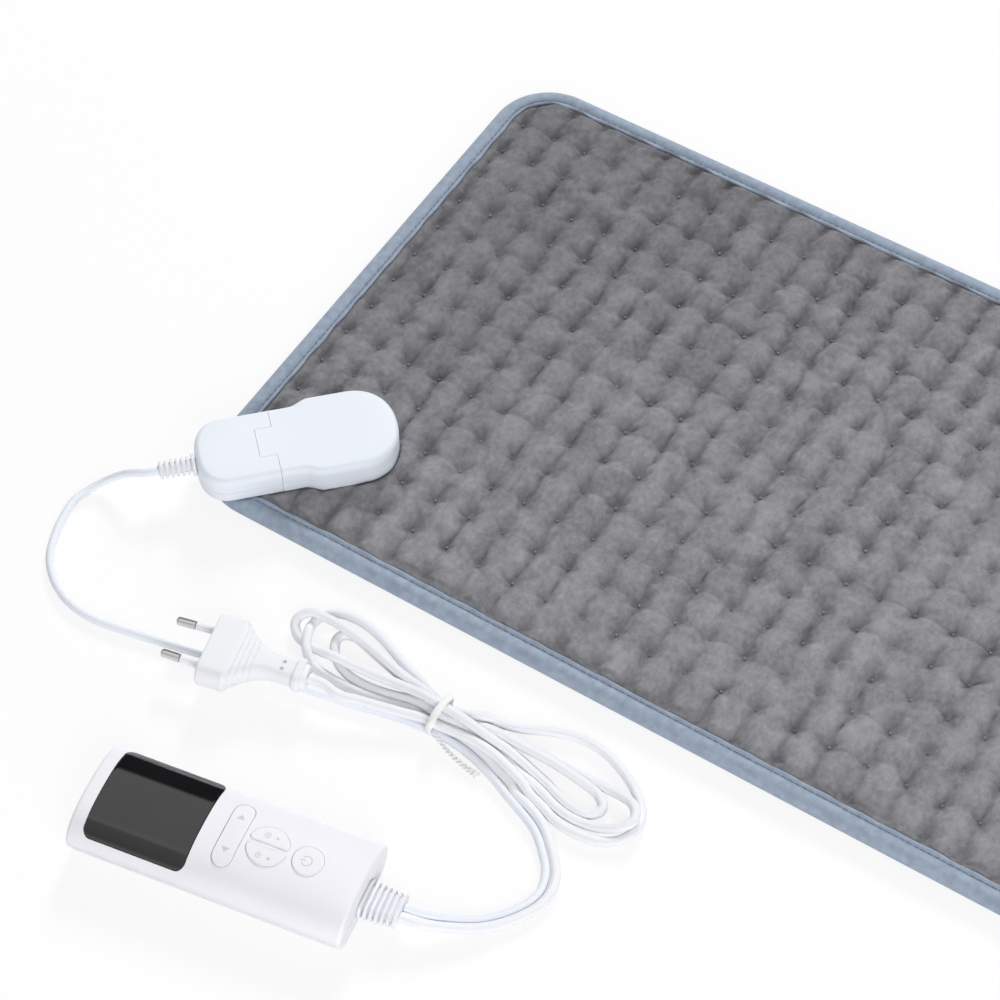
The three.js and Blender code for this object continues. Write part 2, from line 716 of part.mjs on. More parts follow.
function connectorTopShell() {
  const housing = shoulderedHousing((grow) => plugHalfOutline(grow));
  const recess = tonguePrism(clearance, connector.joint + overrun);
  const shell = housing.intersect(everything(connectorSplit + clearance, housingTop + overrun))
    .subtract(plugHalfHollow());
  const halfWidth = tongue.halfWidth + connector.wall;
  const tongueEnd = socketStart - tongue.length - connector.wall;
  const underTongue = block(tongueEnd, connector.joint, -halfWidth, halfWidth,
    housingTop - tongue.thickness - connector.wall, housingTop - connector.wall);
  const posts = plugPosts(clamp.postRadius, connectorSplit + clearance, housingTop - connector.wall + overrun)
    .subtract(plugPosts(clamp.screwRadius + clearance, 0, housingTop - 2 * connector.wall));
  return join(shell, underTongue, posts)
    .subtract(recess)
    .subtract(contactWindow(clearance, sleeveBlockStart, connector.joint + overrun))
    .subtract(reliefHole());
}

function connectorBottomShell() {
  const housing = shoulderedHousing((grow) => plugHalfOutline(grow));
  const tray = housing.intersect(everything(housingBottom, connectorSplit)).subtract(plugHalfHollow());
  return tray.add(plugPosts(clamp.postRadius, housingBottom, connectorSplit))
    .subtract(plugPosts(clamp.screwRadius + clearance, 0, housingTop))
    .subtract(plugPosts(clamp.headRadius + clearance, 0, housingBottom + clamp.headHeight + clearance))
    .subtract(reliefHole());
}

function connectorScrew([x, y]) {
  const bottom = housingBottom + clearance;
  const shank = rodZ(clamp.screwRadius, bottom, housingTop - 2 * connector.wall - clearance, x, y);
  return shank.add(rodZ(clamp.headRadius, bottom, housingBottom + clamp.headHeight, x, y));
}

function sleeveBlock() {
  const body = contactWindow(0, sleeveBlockStart + clearance, connector.joint - clearance);
  return body.subtract(contactBores(contacts.sleeveRadius + clearance));
}

function contactSleeve(y) {
  return contactRod(contacts.sleeveRadius, sleeveBlockStart, connector.joint - clearance, y)
    .subtract(contactRod(contacts.sleeveBore, 0, connector.end, y));
}

const plugReliefTip = connector.start - plugEndRelief.flangeThickness
  - plugEndRelief.ribs * plugEndRelief.ribPitch;

function reliefRod(radius, start, end) {
  return rodX(radius, start, end, 0, reliefHeight);
}

function connectorStrainRelief() {
  const { coreRadius, collarRadius, flangeRadius, flangeThickness } = plugEndRelief;
  const wallEnd = connector.start + connector.wall;
  const flangeEnd = connector.start - clearance;
  const seat = reliefRod(coreRadius, flangeEnd, wallEnd + clearance);
  const collarStart = wallEnd + 2 * clearance;
  const collar = reliefRod(collarRadius, collarStart, collarStart + flangeThickness);
  const flange = reliefRod(flangeRadius, flangeEnd - flangeThickness, flangeEnd);
  const core = reliefRod(coreRadius, plugReliefTip, wallEnd + flangeThickness);
  const ribs = [];
  for (let rib = 0; rib < plugEndRelief.ribs; rib += 1) {
    const at = plugReliefTip + rib * plugEndRelief.ribPitch;
    ribs.push(reliefRod(plugEndRelief.radius, at, at + plugEndRelief.ribThickness));
  }
  return join(seat, collar, flange, core, ...ribs);
}

// Controller section: flat underside, rounded lower edges and an arched top
function handsetSection(inset) {
  const half = handset.width / 2 - inset;
  const flat = handset.flatHalf - inset;
  const lowSteps = arcSteps.low;
  const archSteps = arcSteps.arch;
  const points = [];
  for (let step = 0; step <= lowSteps; step += 1) {
    const angle = step / lowSteps * Math.PI / 2;
    points.push([flat + (half - flat) * Math.sin(angle),
      handset.sideHeight - (handset.sideHeight - inset) * Math.cos(angle)]);
  }
  for (let step = 1; step < archSteps; step += 1) {
    const angle = step / archSteps * Math.PI;
    const cosine = Math.cos(angle);
    points.push([half * Math.sign(cosine) * Math.pow(Math.abs(cosine), 2 / handset.archPower),
      handset.sideHeight + (handset.crown - inset - handset.sideHeight) * Math.sin(angle)]);
  }
  for (let step = lowSteps; step >= 0; step -= 1) {
    const angle = step / lowSteps * Math.PI / 2;
    points.push([-flat - (half - flat) * Math.sin(angle),
      handset.sideHeight - (handset.sideHeight - inset) * Math.cos(angle)]);
  }
  return shapeOf(points);
}

const handsetHalf = handset.length / 2;

function handsetBody(inset, endInset = inset) {
  return prismX(handsetSection(inset), -handsetHalf + endInset, handsetHalf - endInset);
}

function handsetBlock(bottom, top) {
  return block(-handset.length, handset.length, -handset.width, handset.width, bottom, top);
}

const lensHalfLength = (handset.length - lens.start - lens.endMargin) / 2;
const lensHalfWidth = handset.width / 2 - lens.sideMargin;
const lensMiddle = -handsetHalf + lens.start + lensHalfLength;

function lensPrism(grow, bottom, top) {
  const shape = roundedRectangle(lensHalfLength + grow, lensHalfWidth + grow, lens.cornerRadius + grow,
    arcSteps.lens);
  return prismZ(shape, bottom, top).translate([lensMiddle, 0, 0]);
}

function bossPlaces() {
  const places = [];
  const y = handset.width / 2 - boss.sideMargin;
  for (const margin of boss.margins) {
    for (const side of [-1, 1]) places.push([handsetHalf - margin, side * y]);
  }
  return places;
}

function bossRods(radius, bottom, top) {
  return rodsAt(bossPlaces(), radius, bottom, top);
}

// Button outlines in the controller's axes
function pillShape(grow) {
  const points = [];
  const reach = rocker.halfLength - rocker.radius;
  const radius = rocker.radius + grow;
  for (const side of [1, -1]) {
    for (let step = 0; step <= arcSteps.pill; step += 1) {
      const angle = step / arcSteps.pill * Math.PI + (side > 0 ? 0 : Math.PI);
      points.push([radius * Math.cos(angle), side * reach + radius * Math.sin(angle)]);
    }
  }
  return shapeOf(points);
}

function halfMoonShape(side, grow) {
  const points = [];
  const steps = arcSteps.halfMoon;
  const chord = halfMoon.gap / 2 - Math.min(grow, button.hole);
  const radius = halfMoon.radius + grow;
  const start = Math.asin(chord / radius);
  for (let step = 0; step <= steps; step += 1) {
    const angle = start + step / steps * (Math.PI - 2 * start);
    points.push([radius * Math.cos(angle), side * radius * Math.sin(angle)]);
  }
  if (side < 0) points.reverse();
  return shapeOf(points);
}

function discShape(grow) {
  return sectionShape(power.radius + grow, sides.powerKey);
}

const upperMoon = (grow) => halfMoonShape(1, grow);
const lowerMoon = (grow) => halfMoonShape(-1, grow);
const buttonPlans = [
  { name: "level_rocker", shape: pillShape, fromEnd: rocker.fromEnd, relief: rocker.flangeRelief },
  { name: "heat_button", shape: upperMoon, fromEnd: halfMoon.fromEnd, relief: clearance },
  { name: "timer_button", shape: lowerMoon, fromEnd: halfMoon.fromEnd, relief: clearance },
  { name: "power_button", shape: discShape, fromEnd: power.fromEnd, relief: clearance },
];

function buttonPrism(plan, grow, bottom, top) {
  return prismZ(plan.shape(grow), bottom, top).translate([handsetHalf - plan.fromEnd, 0, 0]);
}

function buttonBody(plan) {
  const tallest = handset.crown + overrun;
  const cap = buttonPrism(plan, 0, button.underside, tallest).intersect(handsetBody(-button.proud));
  const flange = buttonPrism(plan, button.flange, button.underside, tallest)
    .intersect(handsetBody(handset.wall + plan.relief));
  return cap.add(flange);
}

function levelRocker() {
  const x = handsetHalf - rocker.fromEnd;
  const slot = block(x - pivot.bracketHalf - clearance, x + pivot.bracketHalf + clearance,
    -pivot.slotHalf, pivot.slotHalf, 0, pivot.slotTop);
  const boreHalf = pivot.pinHalf + clearance;
  const bore = rodX(pivot.bore, x - boreHalf, x + boreHalf, 0, rocker.pivotHeight);
  return buttonBody(buttonPlans[0]).subtract(slot).subtract(bore);
}

function rockerPin() {
  const x = handsetHalf - rocker.fromEnd;
  return rodX(pivot.pinRadius, x - pivot.pinHalf, x + pivot.pinHalf, 0, rocker.pivotHeight);
}

const boardTop = board.underside + board.thickness;

function rockerBracket() {
  const x = handsetHalf - rocker.fromEnd;
  const post = block(x - pivot.bracketHalf, x + pivot.bracketHalf, -pivot.bracketDepth, pivot.bracketDepth,
    boardTop + clearance, rocker.pivotHeight + pivot.bore + clearance);
  return post.subtract(rodX(pivot.bore, -handset.length, handset.length, 0, rocker.pivotHeight));
}

function reliefOpening(grow) {
  return block(handsetHalf - 2 * handset.wall, handsetHalf + overrun, -handsetRelief.neckWidth / 2 - grow,
    handsetRelief.neckWidth / 2 + grow, handsetRelief.height - handsetRelief.neckHeight / 2 - grow,
    handsetRelief.height + handsetRelief.neckHeight / 2 + grow);
}

function handsetTopShell() {
  const outer = handsetBody(0).intersect(handsetBlock(handset.split, handset.crown + overrun));
  const shell = outer.subtract(handsetBody(handset.wall));
  const roof = handsetBody(handset.wall / 2);
  const posts = bossRods(boss.radius, boardTop + clearance, handset.crown).intersect(roof)
    .subtract(bossRods(boss.bore, 0, screw.reach + clearance));
  const recess = lensPrism(clearance, handset.split, handset.crown + overrun)
    .subtract(handsetBody(lens.thickness + clearance, 0));
  const opening = lensPrism(-lens.ledge, 0, handset.crown + overrun);
  let whole = shell.add(posts).subtract(recess).subtract(opening).subtract(reliefOpening(clearance));
  for (const plan of buttonPlans) {
    whole = whole.subtract(buttonPrism(plan, button.hole, boardTop + clearance, handset.crown + overrun));
  }
  return whole;
}

function handsetBottomShell() {
  const outer = handsetBody(0).intersect(handsetBlock(-overrun, handset.split - clearance));
  const tray = outer.subtract(handsetBody(handset.wall));
  const posts = bossRods(bossFoot.radius, 0, handset.wall + overrun)
    .add(bossRods(boss.radius, 0, board.underside - clearance))
    .intersect(handsetBody(0));
  return tray.add(posts)
    .subtract(bossRods(boss.bore, -overrun, handset.crown))
    .subtract(bossRods(boss.sinkRadius, -overrun, boss.sinkDepth))
    .subtract(reliefOpening(clearance));
}

function handsetScrew([x, y]) {
  const headBottom = boss.sinkDepth - clearance - screw.headHeight;
  return rodZ(screw.radius, headBottom, screw.reach, x, y)
    .add(rodZ(screw.headRadius, headBottom, headBottom + screw.headHeight, x, y));
}

function displayWindow() {
  return lensPrism(0, handset.split, handset.crown + overrun).intersect(handsetBody(0))
    .subtract(handsetBody(lens.thickness, 0));
}

function controlBoard() {
  const half = handset.width / 2 - board.sideMargin;
  const plate = block(board.startMargin - handsetHalf, handsetHalf - board.endMargin, -half, half,
    board.underside, boardTop);
  return plate.subtract(bossRods(screw.radius + clearance, 0, handset.crown))
    .subtract(reliefKeepout());
}

function reliefKeepout() {
  const start = handsetHalf - handset.wall - 2 * clearance - handsetRelief.collarThickness;
  const half = handsetRelief.collarWidth / 2 + clearance;
  return block(start - clearance, handsetHalf, -half, half, 0, handset.crown);
}

function displayModuleBody() {
  const half = lensHalfLength - displayModule.margin;
  const halfWidth = lensHalfWidth - displayModule.sideMargin;
  const bottom = boardTop + clearance;
  const top = bottom + displayModule.height;
  return block(lensMiddle - half, lensMiddle + half, -halfWidth, halfWidth, bottom, top);
}

function tactPlaces() {
  const moonX = handsetHalf - halfMoon.fromEnd;
  const rockerX = handsetHalf - rocker.fromEnd;
  return [[rockerX, tact.rockerOffset], [rockerX, -tact.rockerOffset],
    [moonX, tact.moonOffset], [moonX, -tact.moonOffset], [handsetHalf - power.fromEnd, 0]];
}

function tactSwitch([x, y]) {
  const bottom = boardTop + clearance;
  const half = tact.size / 2;
  return block(x - half, x + half, y - half, y + half, bottom, bottom + tact.bodyHeight)
    .add(rodZ(tact.plungerRadius, bottom, tact.top, x, y));
}

// The power parts hang under the board
const boardParts = [
  { name: "power_relay", fromEnd: 33, length: 15, y: -8, width: 12, height: 6 },
  { name: "film_capacitor", fromEnd: 51, length: 18, y: 4, width: 7, height: 5.6 },
];

function boardPart(piece) {
  const start = handsetHalf - piece.fromEnd;
  const top = board.underside - clearance;
  const half = piece.width / 2;
  return block(start, start + piece.length, piece.y - half, piece.y + half, top - piece.height, top);
}

function plateX(start, end, width, height, z) {
  const shape = roundedRectangle(width / 2, height / 2, height / 2 - clearance, 2);
  return prismX(shape, start, end).translate([0, 0, z]);
}

const handsetReliefTip = handsetHalf + clearance + handsetRelief.ribs * handsetRelief.ribPitch
  + handsetRelief.ribThickness;

function handsetStrainRelief() {
  const z = handsetRelief.height;
  const inside = handsetHalf - handset.wall - clearance;
  const innermost = inside - handsetRelief.collarThickness;
  const neckEnd = handsetHalf + clearance + handsetRelief.ribThickness;
  const flange = plateX(innermost, inside, handsetRelief.collarWidth, handsetRelief.collarHeight, z);
  const neck = plateX(innermost, neckEnd, handsetRelief.neckWidth, handsetRelief.neckHeight, z);
  const core = plateX(handsetHalf, handsetReliefTip, handsetRelief.coreWidth, handsetRelief.coreHeight, z);
  const ribs = [];
  for (let rib = 0; rib <= handsetRelief.ribs; rib += 1) {
    const start = handsetHalf + clearance + rib * handsetRelief.ribPitch;
    const end = start + handsetRelief.ribThickness;
    ribs.push(plateX(start, end, handsetRelief.ribWidth, handsetRelief.ribHeight, z));
  }
  return join(flange, neck, core, ...ribs);
}

// Mains plug, from its front face (x = 0) back to the cord
function plugPlan() {
  const bevel = 2 * clearance;
  const upper = [[0, plug.halfWidth - bevel], [bevel, plug.halfWidth], [plug.shoulder, plug.halfWidth]];
  for (let step = 1; step <= plug.neckSteps; step += 1) {
    const share = step / plug.neckSteps;
    const drop = Math.pow(1 - share, plug.neckPower);
    upper.push([plug.shoulder + share * (plug.neckStart - plug.shoulder),
      plug.neckHalf + drop * (plug.halfWidth - plug.neckHalf)]);
  }
  upper.push([plug.length, plug.neckHalf]);
  return mirrored(upper);
}

function plugSide() {
  const half = plug.thickness / 2;
  const neck = plug.neckThickness / 2;
  return shapeOf([[0, -half], [plug.shoulder, -half], [plug.neckStart, -neck], [plug.length, -neck],
    [plug.length, neck], [plug.neckStart, neck], [plug.shoulder, half], [0, half]]);
}

function mainsPlugBody() {
  const plan = prismZ(shapeOf(plugPlan()), -plug.thickness, plug.thickness);
  const profile = prismY(plugSide(), plug.halfWidth + overrun);
  const half = plug.thickness / 2;
  const section = roundedRectangle(plug.halfWidth, half, half - 2 * clearance, arcSteps.low);
  const rounded = prismX(section, -overrun, plug.length + overrun);
  const flangeEnd = plug.flangeStart + plug.flangeThickness;
  const flange = plateX(plug.flangeStart, flangeEnd, 2 * plug.flangeHalf, plug.flangeHeight, 0);
  const pocket = bridgeBlock(clearance, -overrun);
  return plan.intersect(profile).intersect(rounded).add(flange).subtract(pocket);
}

function bridgeBlock(grow, start) {
  return block(start, bridge.depth + grow, -bridge.halfWidth - grow, bridge.halfWidth + grow,
    -bridge.height / 2 - grow, bridge.height / 2 + grow);
}

// Each pin leans in a little, so its tip spacing is less than its root spacing
function leaning(manifold, side) {
  const geometry = geometryOf(manifold);
  geometry.rotateZ(side * Math.atan2((pins.spacing - pins.tipSpacing) / 2, pins.reach));
  geometry.translate(0, side * pins.spacing / 2, 0);
  return solid(geometry);
}

function bothPins(manifold) {
  return leaning(manifold, 1).add(leaning(manifold, -1));
}

function pinRod(radius, start, end) {
  return rodX(radius, start, end, 0, 0, sides.pin);
}

function plugPin(side) {
  const rod = pinRod(pins.rodRadius, -pins.sleeveReach - overrun, pins.rodSeat);
  const tip = pinRod(pins.radius, -pins.reach + pins.radius / 2, -pins.sleeveReach);
  const nose = new THREE.CylinderGeometry(pins.radius, pins.radius / 2, pins.radius / 2, sides.pin);
  nose.rotateZ(Math.PI / 2);
  nose.translate(-pins.reach + pins.radius / 4, 0, 0);
  return leaning(join(rod, tip, solid(nose)), side);
}

// The bridge holds the pins and is moulded in one with their sleeves
function plugBridge() {
  const sleeves = bothPins(pinRod(pins.sleeveRadius, -pins.sleeveReach + clearance, pins.rodSeat));
  const bores = bothPins(pinRod(pins.rodRadius + clearance, -pins.reach, pins.rodSeat + clearance));
  return bridgeBlock(0, 0).add(sleeves).subtract(bores);
}

// Hank: one unbroken run of nested loops that spirals in on the lower layer,
// climbs along a run and spirals out on the upper layer, drawn in at the tie
function hankPoint(turn) {
  const angle = 2 * Math.PI * turn;
  const middle = hank.loops / 2;
  const lane = hank.lanes * Math.abs(turn - middle) / middle;
  const end = Math.sin(angle) > 0 ? hank.left : hank.right;
  const reach = end.reach + lane * end.lanePitch;
  const spread = end.spread + lane * end.spreadPitch;
  const waist = hank.waist + lane * hank.waistPitch;
  const swell = Math.pow(Math.sin(angle), 2);
  const x = -reach * Math.sin(angle);
  const y = -Math.cos(angle) * (waist + hank.fullest * spread * swell) + swell * end.lift;
  return [hank.centreX + x, hank.centreY + y, hankHeight(turn, x)];
}

function tieRise(x) {
  return (tie.thickness + clearance) * Math.exp(-Math.pow(x / (3 * tie.width), 2));
}

function hankHeight(turn, x) {
  const middle = hank.loops / 2;
  const climb = THREE.MathUtils.clamp((turn - (middle - hank.climbLead)) * 2, 0, 1);
  const smooth = climb * climb * (3 - 2 * climb);
  return mainsCord.diameter / 2 + smooth * hank.layerPitch + tieRise(x);
}

function hankRoute() {
  const steps = hank.loops * hank.stepsPerLoop;
  const route = [];
  const first = hankPoint(0);
  const last = hankPoint(hank.loops);
  route.push([first[0] + mainsCord.diameter, first[1], first[2]]);
  for (let step = 0; step <= steps; step += 1) route.push(hankPoint(step / steps * hank.loops));
  route.push([last[0] - mainsCord.diameter, last[1], last[2]]);
  return route;
}

function leastGap(route, diameter) {
  const fine = [];
  const pieces = 4;
  const apart = 5 * diameter;
  for (let k = 0; k + 1 < route.length; k += 1) {
    for (let p = 0; p < pieces; p += 1) {
      fine.push(route[k].map((value, axis) => value + (route[k + 1][axis] - value) * p / pieces));
    }
  }
  const distance = (a, b) => Math.hypot(a[0] - b[0], a[1] - b[1], a[2] - b[2]);
  const along = [0];
  for (let k = 1; k < fine.length; k += 1) along.push(along[k - 1] + distance(fine[k - 1], fine[k]));
  let least = Infinity;
  for (let a = 0; a < fine.length; a += 1) {
    for (let b = a + 1; b < fine.length; b += 1) {
      if (along[b] - along[a] > apart) least = Math.min(least, distance(fine[a], fine[b]));
    }
  }
  return { gap: least - diameter, length: along[along.length - 1] };
}

const hankPath = hankRoute();
const hankMeasure = leastGap(hankPath, mainsCord.diameter);
console.log(`hank: least gap ${hankMeasure.gap.toFixed(2)} mm, length ${hankMeasure.length.toFixed(0)} mm`);

// Free stretches of cord: exits first, then points chosen by hand
const stubShare = 1.2;
const mainsStub = stubShare * mainsCord.diameter;
const padStub = stubShare * padCord.diameter;

function exitPoints(group, x, y, z, direction, stub) {
  const face = worldPoint(group, x + direction * clearance, y, z);
  const half = worldPoint(group, x + direction * (clearance + stub / 2), y, z);
  const end = worldPoint(group, x + direction * (clearance + stub), y, z);
  return [face, half, end];
}

const padCordFloor = padCord.diameter / 2;
const mainsFloor = mainsCord.diameter / 2;

// The pad cord, from below the pad's corner under the plug to the controller
const padCordRoute = [
  [-313.6, -158.4, 13.6], [-320.2, -161, 10], [-326, -164, 6.4], [-331, -169, 3.4],
  [-334.4, -176, padCordFloor],
  [-335.6, -184.5, padCordFloor], [-333.4, -197.3, padCordFloor], [-328.9, -209.4, padCordFloor],
  [-324, -217, padCordFloor], [-315.5, -224.4, padCordFloor], [-304.6, -229.3, padCordFloor],
  [-293.4, -231, padCordFloor], [-280.5, -229.8, padCordFloor], [-267, -227, padCordFloor],
  [-251, -223.6, padCordFloor], [-234, -219.6, padCordFloor], [-214, -215, padCordFloor],
  [-194, -211.6, padCordFloor], [-174, -209, padCordFloor], [-154, -207.4, padCordFloor + 0.1],
  [-142, -206.6, padCordFloor + 0.6], [-131.4, -206.1, padCordFloor + 1.25],
  [-120, -206.5, padCordFloor + 0.6],
  [-109.8, -207.5, padCordFloor + 0.1], [-99.4, -209.8, padCordFloor], [-88.8, -213.4, padCordFloor],
  [-78.2, -218.2, padCordFloor], [-68.4, -223.6, padCordFloor], [-61, -230.4, padCordFloor],
  [-56.9, -239.2, padCordFloor], [-56.4, -249.7, padCordFloor], [-59.6, -259.8, padCordFloor],
  [-66.8, -268.9, 3.2], [-76.6, -275.1, 5.6],
];

// The mains cord, from the hank to the controller
const mainsLeadRoute = [
  [-120, -201.3, mainsFloor + 0.4], [-109, -202.6, mainsFloor], [-98, -205, mainsFloor],
  [-87, -208.8, mainsFloor], [-76, -213.7, mainsFloor], [-65.5, -219.5, mainsFloor],
  [-57, -227.4, mainsFloor], [-52, -238, mainsFloor],
  [-51.4, -250.4, mainsFloor], [-55.2, -262.2, mainsFloor], [-63.5, -272.6, 3.6], [-74.5, -279.6, 6],
];

// The mains cord, from the hank to its plug
const mainsTailRoute = [[-148, -201.9, 8.8], [-160, -203.8, 9.6], [-172, -206.4, 10.5]];

function tubeSteps(points, diameter) {
  const curve = new THREE.CatmullRomCurve3(points.map(([x, y, z]) => new THREE.Vector3(x, y, z)));
  const most = 80;
  return Math.min(most, Math.round(curve.getLength() / (2 * diameter)));
}

function cordTube(points, cord) {
  return tubeAlong(points, cord.diameter, cord.sides, tubeSteps(points, cord.diameter));
}

// Both cords leave the controller side by side through its strain relief
function handsetExit(side, stub) {
  return exitPoints(handsetGroup, handsetReliefTip, side * handsetRelief.cordSpacing / 2,
    handsetRelief.height, 1, stub);
}

function padCordTube() {
  const start = exitPoints(connectorGroup, plugReliefTip, 0, reliefHeight, -1, padStub);
  const end = handsetExit(1, padStub);
  return cordTube([...start, ...padCordRoute, ...end.reverse()], padCord);
}

function mainsLeadTube() {
  const hankFace = [hankPath[0][0] + clearance, hankPath[0][1], hankPath[0][2]];
  const hankStraight = [hankPath[0][0] + mainsCord.diameter, hankPath[0][1], hankPath[0][2]];
  const end = handsetExit(-1, mainsStub);
  return cordTube([hankFace, hankStraight, ...mainsLeadRoute, ...end.reverse()], mainsCord);
}

function mainsTailTube() {
  const last = hankPath[hankPath.length - 1];
  const hankFace = [last[0] - clearance, last[1], last[2]];
  const hankStraight = [last[0] - mainsCord.diameter, last[1], last[2]];
  const end = exitPoints(plugGroup, plug.length, 0, 0, 1, mainsStub);
  return cordTube([hankFace, hankStraight, ...mainsTailRoute, ...end.reverse()], mainsCord);
}

function mainsHank() {
  return mitredTube(hankPath, mainsCord.diameter / 2, hank.sides);
}

// Twist tie: a flat band round the waist with a short tail lying on the floor
function tieSection() {
  const first = hankPoint(0);
  const near = first[1] - mainsCord.diameter / 2 - padCord.diameter - 4 * clearance;
  const far = hankPoint(hank.loops - 0.5)[1] + mainsCord.diameter / 2 + 2 * clearance;
  const low = tie.thickness;
  const high = hankPoint(hank.loops)[2] + mainsCord.diameter / 2 + 2 * clearance;
  return { near, far, low, high };
}

function cordTie() {
  const { near, far, low, high } = tieSection();
  const middleY = (near + far) / 2;
  const middleZ = (low + high) / 2;
  const ringShape = (grow) => roundedRectangle((far - near) / 2 + grow, (high - low) / 2 + grow,
    2 * tie.thickness + grow, 4);
  const place = [0, middleY, middleZ];
  const start = hank.centreX - tie.width / 2;
  const outer = prismX(ringShape(tie.thickness), start, start + tie.width).translate(place);
  const inner = prismX(ringShape(0), hank.centreX - tie.width, hank.centreX + tie.width).translate(place);
  return outer.subtract(inner).add(tieTail(near));
}

function tieTail(near) {
  const tail = new THREE.BoxGeometry(tie.tailLength, tie.tailWidth, tie.thickness);
  tail.translate(tie.tailLength / 2, 0, tie.thickness / 2);
  tail.rotateZ(THREE.MathUtils.degToRad(tie.tailTurn));
  tail.translate(hank.centreX, near - tie.thickness / 2, 0);
  return solid(tail);
}

// The assembly
addPart(padGroup, "pad_top_cover", padTopCover(), plush);
addPart(padGroup, "pad_back_cover", padBackCover(), backPlush);
addPart(padGroup, "wire_carrier", wireCarrier(), fleece);
addPart(padGroup, "heating_wire", heatingWire(), wireJacket);
addPart(padGroup, "thermal_cutout", thermalCutout(), whiteShell);
addPart(padGroup, "edge_binding", edgeBinding(), tape);

addNumbered(connectorGroup, "pad_lead", [-1, 1], padLead, wireJacket);
addPart(connectorGroup, "socket_top_shell", socketTopShell(), whiteShell);
addPart(connectorGroup, "socket_base_shell", socketBaseShell(), whiteShell);
addPart(connectorGroup, "socket_clamp_plate", socketClampPlate(), whiteShell);
addNumbered(connectorGroup, "clamp_screw", clampPlaces(), clampScrew, metal);
addPart(connectorGroup, "socket_contact_block", socketContactBlock(), darkPlastic);
addNumbered(connectorGroup, "contact_pin", contactPlaces(), contactPin, brass);
addPart(connectorGroup, "connector_top_shell", connectorTopShell(), whiteShell);
addPart(connectorGroup, "connector_bottom_shell", connectorBottomShell(), whiteShell);
addNumbered(connectorGroup, "connector_screw", plugScrewPlaces(), connectorScrew, metal);
addPart(connectorGroup, "sleeve_block", sleeveBlock(), darkPlastic);
addNumbered(connectorGroup, "contact_sleeve", contactPlaces(), contactSleeve, brass);
addPart(connectorGroup, "connector_strain_relief", connectorStrainRelief(), whiteCord);

addPart(handsetGroup, "handset_top_shell", handsetTopShell(), whiteShell);
addPart(handsetGroup, "handset_bottom_shell", handsetBottomShell(), whiteShell);
addNumbered(handsetGroup, "handset_screw", bossPlaces(), handsetScrew, metal);
addPart(handsetGroup, "display_window", displayWindow(), blackGlass);
addPart(handsetGroup, "display_module", displayModuleBody(), darkPlastic);
addPart(handsetGroup, "control_board", controlBoard(), circuit);
for (const piece of boardParts) addPart(handsetGroup, piece.name, boardPart(piece), darkPlastic);
addNumbered(handsetGroup, "tact_switch", tactPlaces(), tactSwitch, darkPlastic);
addPart(handsetGroup, "rocker_bracket", rockerBracket(), whiteShell);
addPart(handsetGroup, "rocker_pin", rockerPin(), metal);
addPart(handsetGroup, "level_rocker", levelRocker(), whiteShell);
for (const plan of buttonPlans.slice(1)) addPart(handsetGroup, plan.name, buttonBody(plan), whiteShell);
addPart(handsetGroup, "handset_strain_relief", handsetStrainRelief(), whiteCord);

addPart(plugGroup, "mains_plug_body", mainsPlugBody(), whiteCord);
addPart(plugGroup, "plug_bridge", plugBridge(), whiteShell);
addNumbered(plugGroup, "plug_pin", [-1, 1], plugPin, metal);

addPart(root, "pad_cord", padCordTube(), whiteCord);
addPart(root, "mains_cord_lead", mainsLeadTube(), whiteCord);
addPart(root, "mains_cord_hank", mainsHank(), whiteCord);
addPart(root, "mains_cord_tail", mainsTailTube(), whiteCord);
addPart(root, "cord_tie", cordTie(), tiePaper);

export default root;
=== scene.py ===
# %% [markdown]
# A quilted heating pad with a plug-in connector, a hand controller and a tied
# mains cord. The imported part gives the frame: every piece below is drawn in its
# axes, in metres, and rides on one of its bodies. Lengths are written in
# millimetres, as in the part's own source, and turned to metres in one place.

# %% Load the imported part
import json
import math

import bpy
import numpy as np
from mathutils import Matrix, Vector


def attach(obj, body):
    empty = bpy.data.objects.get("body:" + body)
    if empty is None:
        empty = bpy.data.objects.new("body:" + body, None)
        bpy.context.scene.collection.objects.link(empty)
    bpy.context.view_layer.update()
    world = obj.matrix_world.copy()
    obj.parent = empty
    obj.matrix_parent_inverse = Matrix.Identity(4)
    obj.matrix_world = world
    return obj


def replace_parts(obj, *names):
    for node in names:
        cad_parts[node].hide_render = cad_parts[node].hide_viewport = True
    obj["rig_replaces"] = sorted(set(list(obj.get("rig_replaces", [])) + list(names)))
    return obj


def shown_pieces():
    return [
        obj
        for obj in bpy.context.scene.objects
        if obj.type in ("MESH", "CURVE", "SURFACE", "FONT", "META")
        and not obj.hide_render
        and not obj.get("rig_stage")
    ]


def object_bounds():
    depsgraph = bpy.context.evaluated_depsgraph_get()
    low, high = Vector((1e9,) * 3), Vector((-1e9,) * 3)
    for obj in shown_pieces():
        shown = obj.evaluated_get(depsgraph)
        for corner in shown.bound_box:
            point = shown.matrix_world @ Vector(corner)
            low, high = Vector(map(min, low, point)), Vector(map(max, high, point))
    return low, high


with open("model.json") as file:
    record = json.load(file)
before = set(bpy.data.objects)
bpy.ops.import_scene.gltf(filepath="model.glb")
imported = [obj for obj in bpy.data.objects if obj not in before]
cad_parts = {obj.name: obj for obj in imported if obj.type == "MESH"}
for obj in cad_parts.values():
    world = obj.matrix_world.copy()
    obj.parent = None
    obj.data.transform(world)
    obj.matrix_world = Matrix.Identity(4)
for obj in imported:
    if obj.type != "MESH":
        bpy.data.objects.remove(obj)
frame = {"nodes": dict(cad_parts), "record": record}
cad_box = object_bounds()
MM = 0.001

# %% [markdown]
# The camera stands where the photograph was taken from. Its place and turn were
# worked out from the pad's straight edges, so the three directions below are
# already square to each other and only need to be put in a matrix.

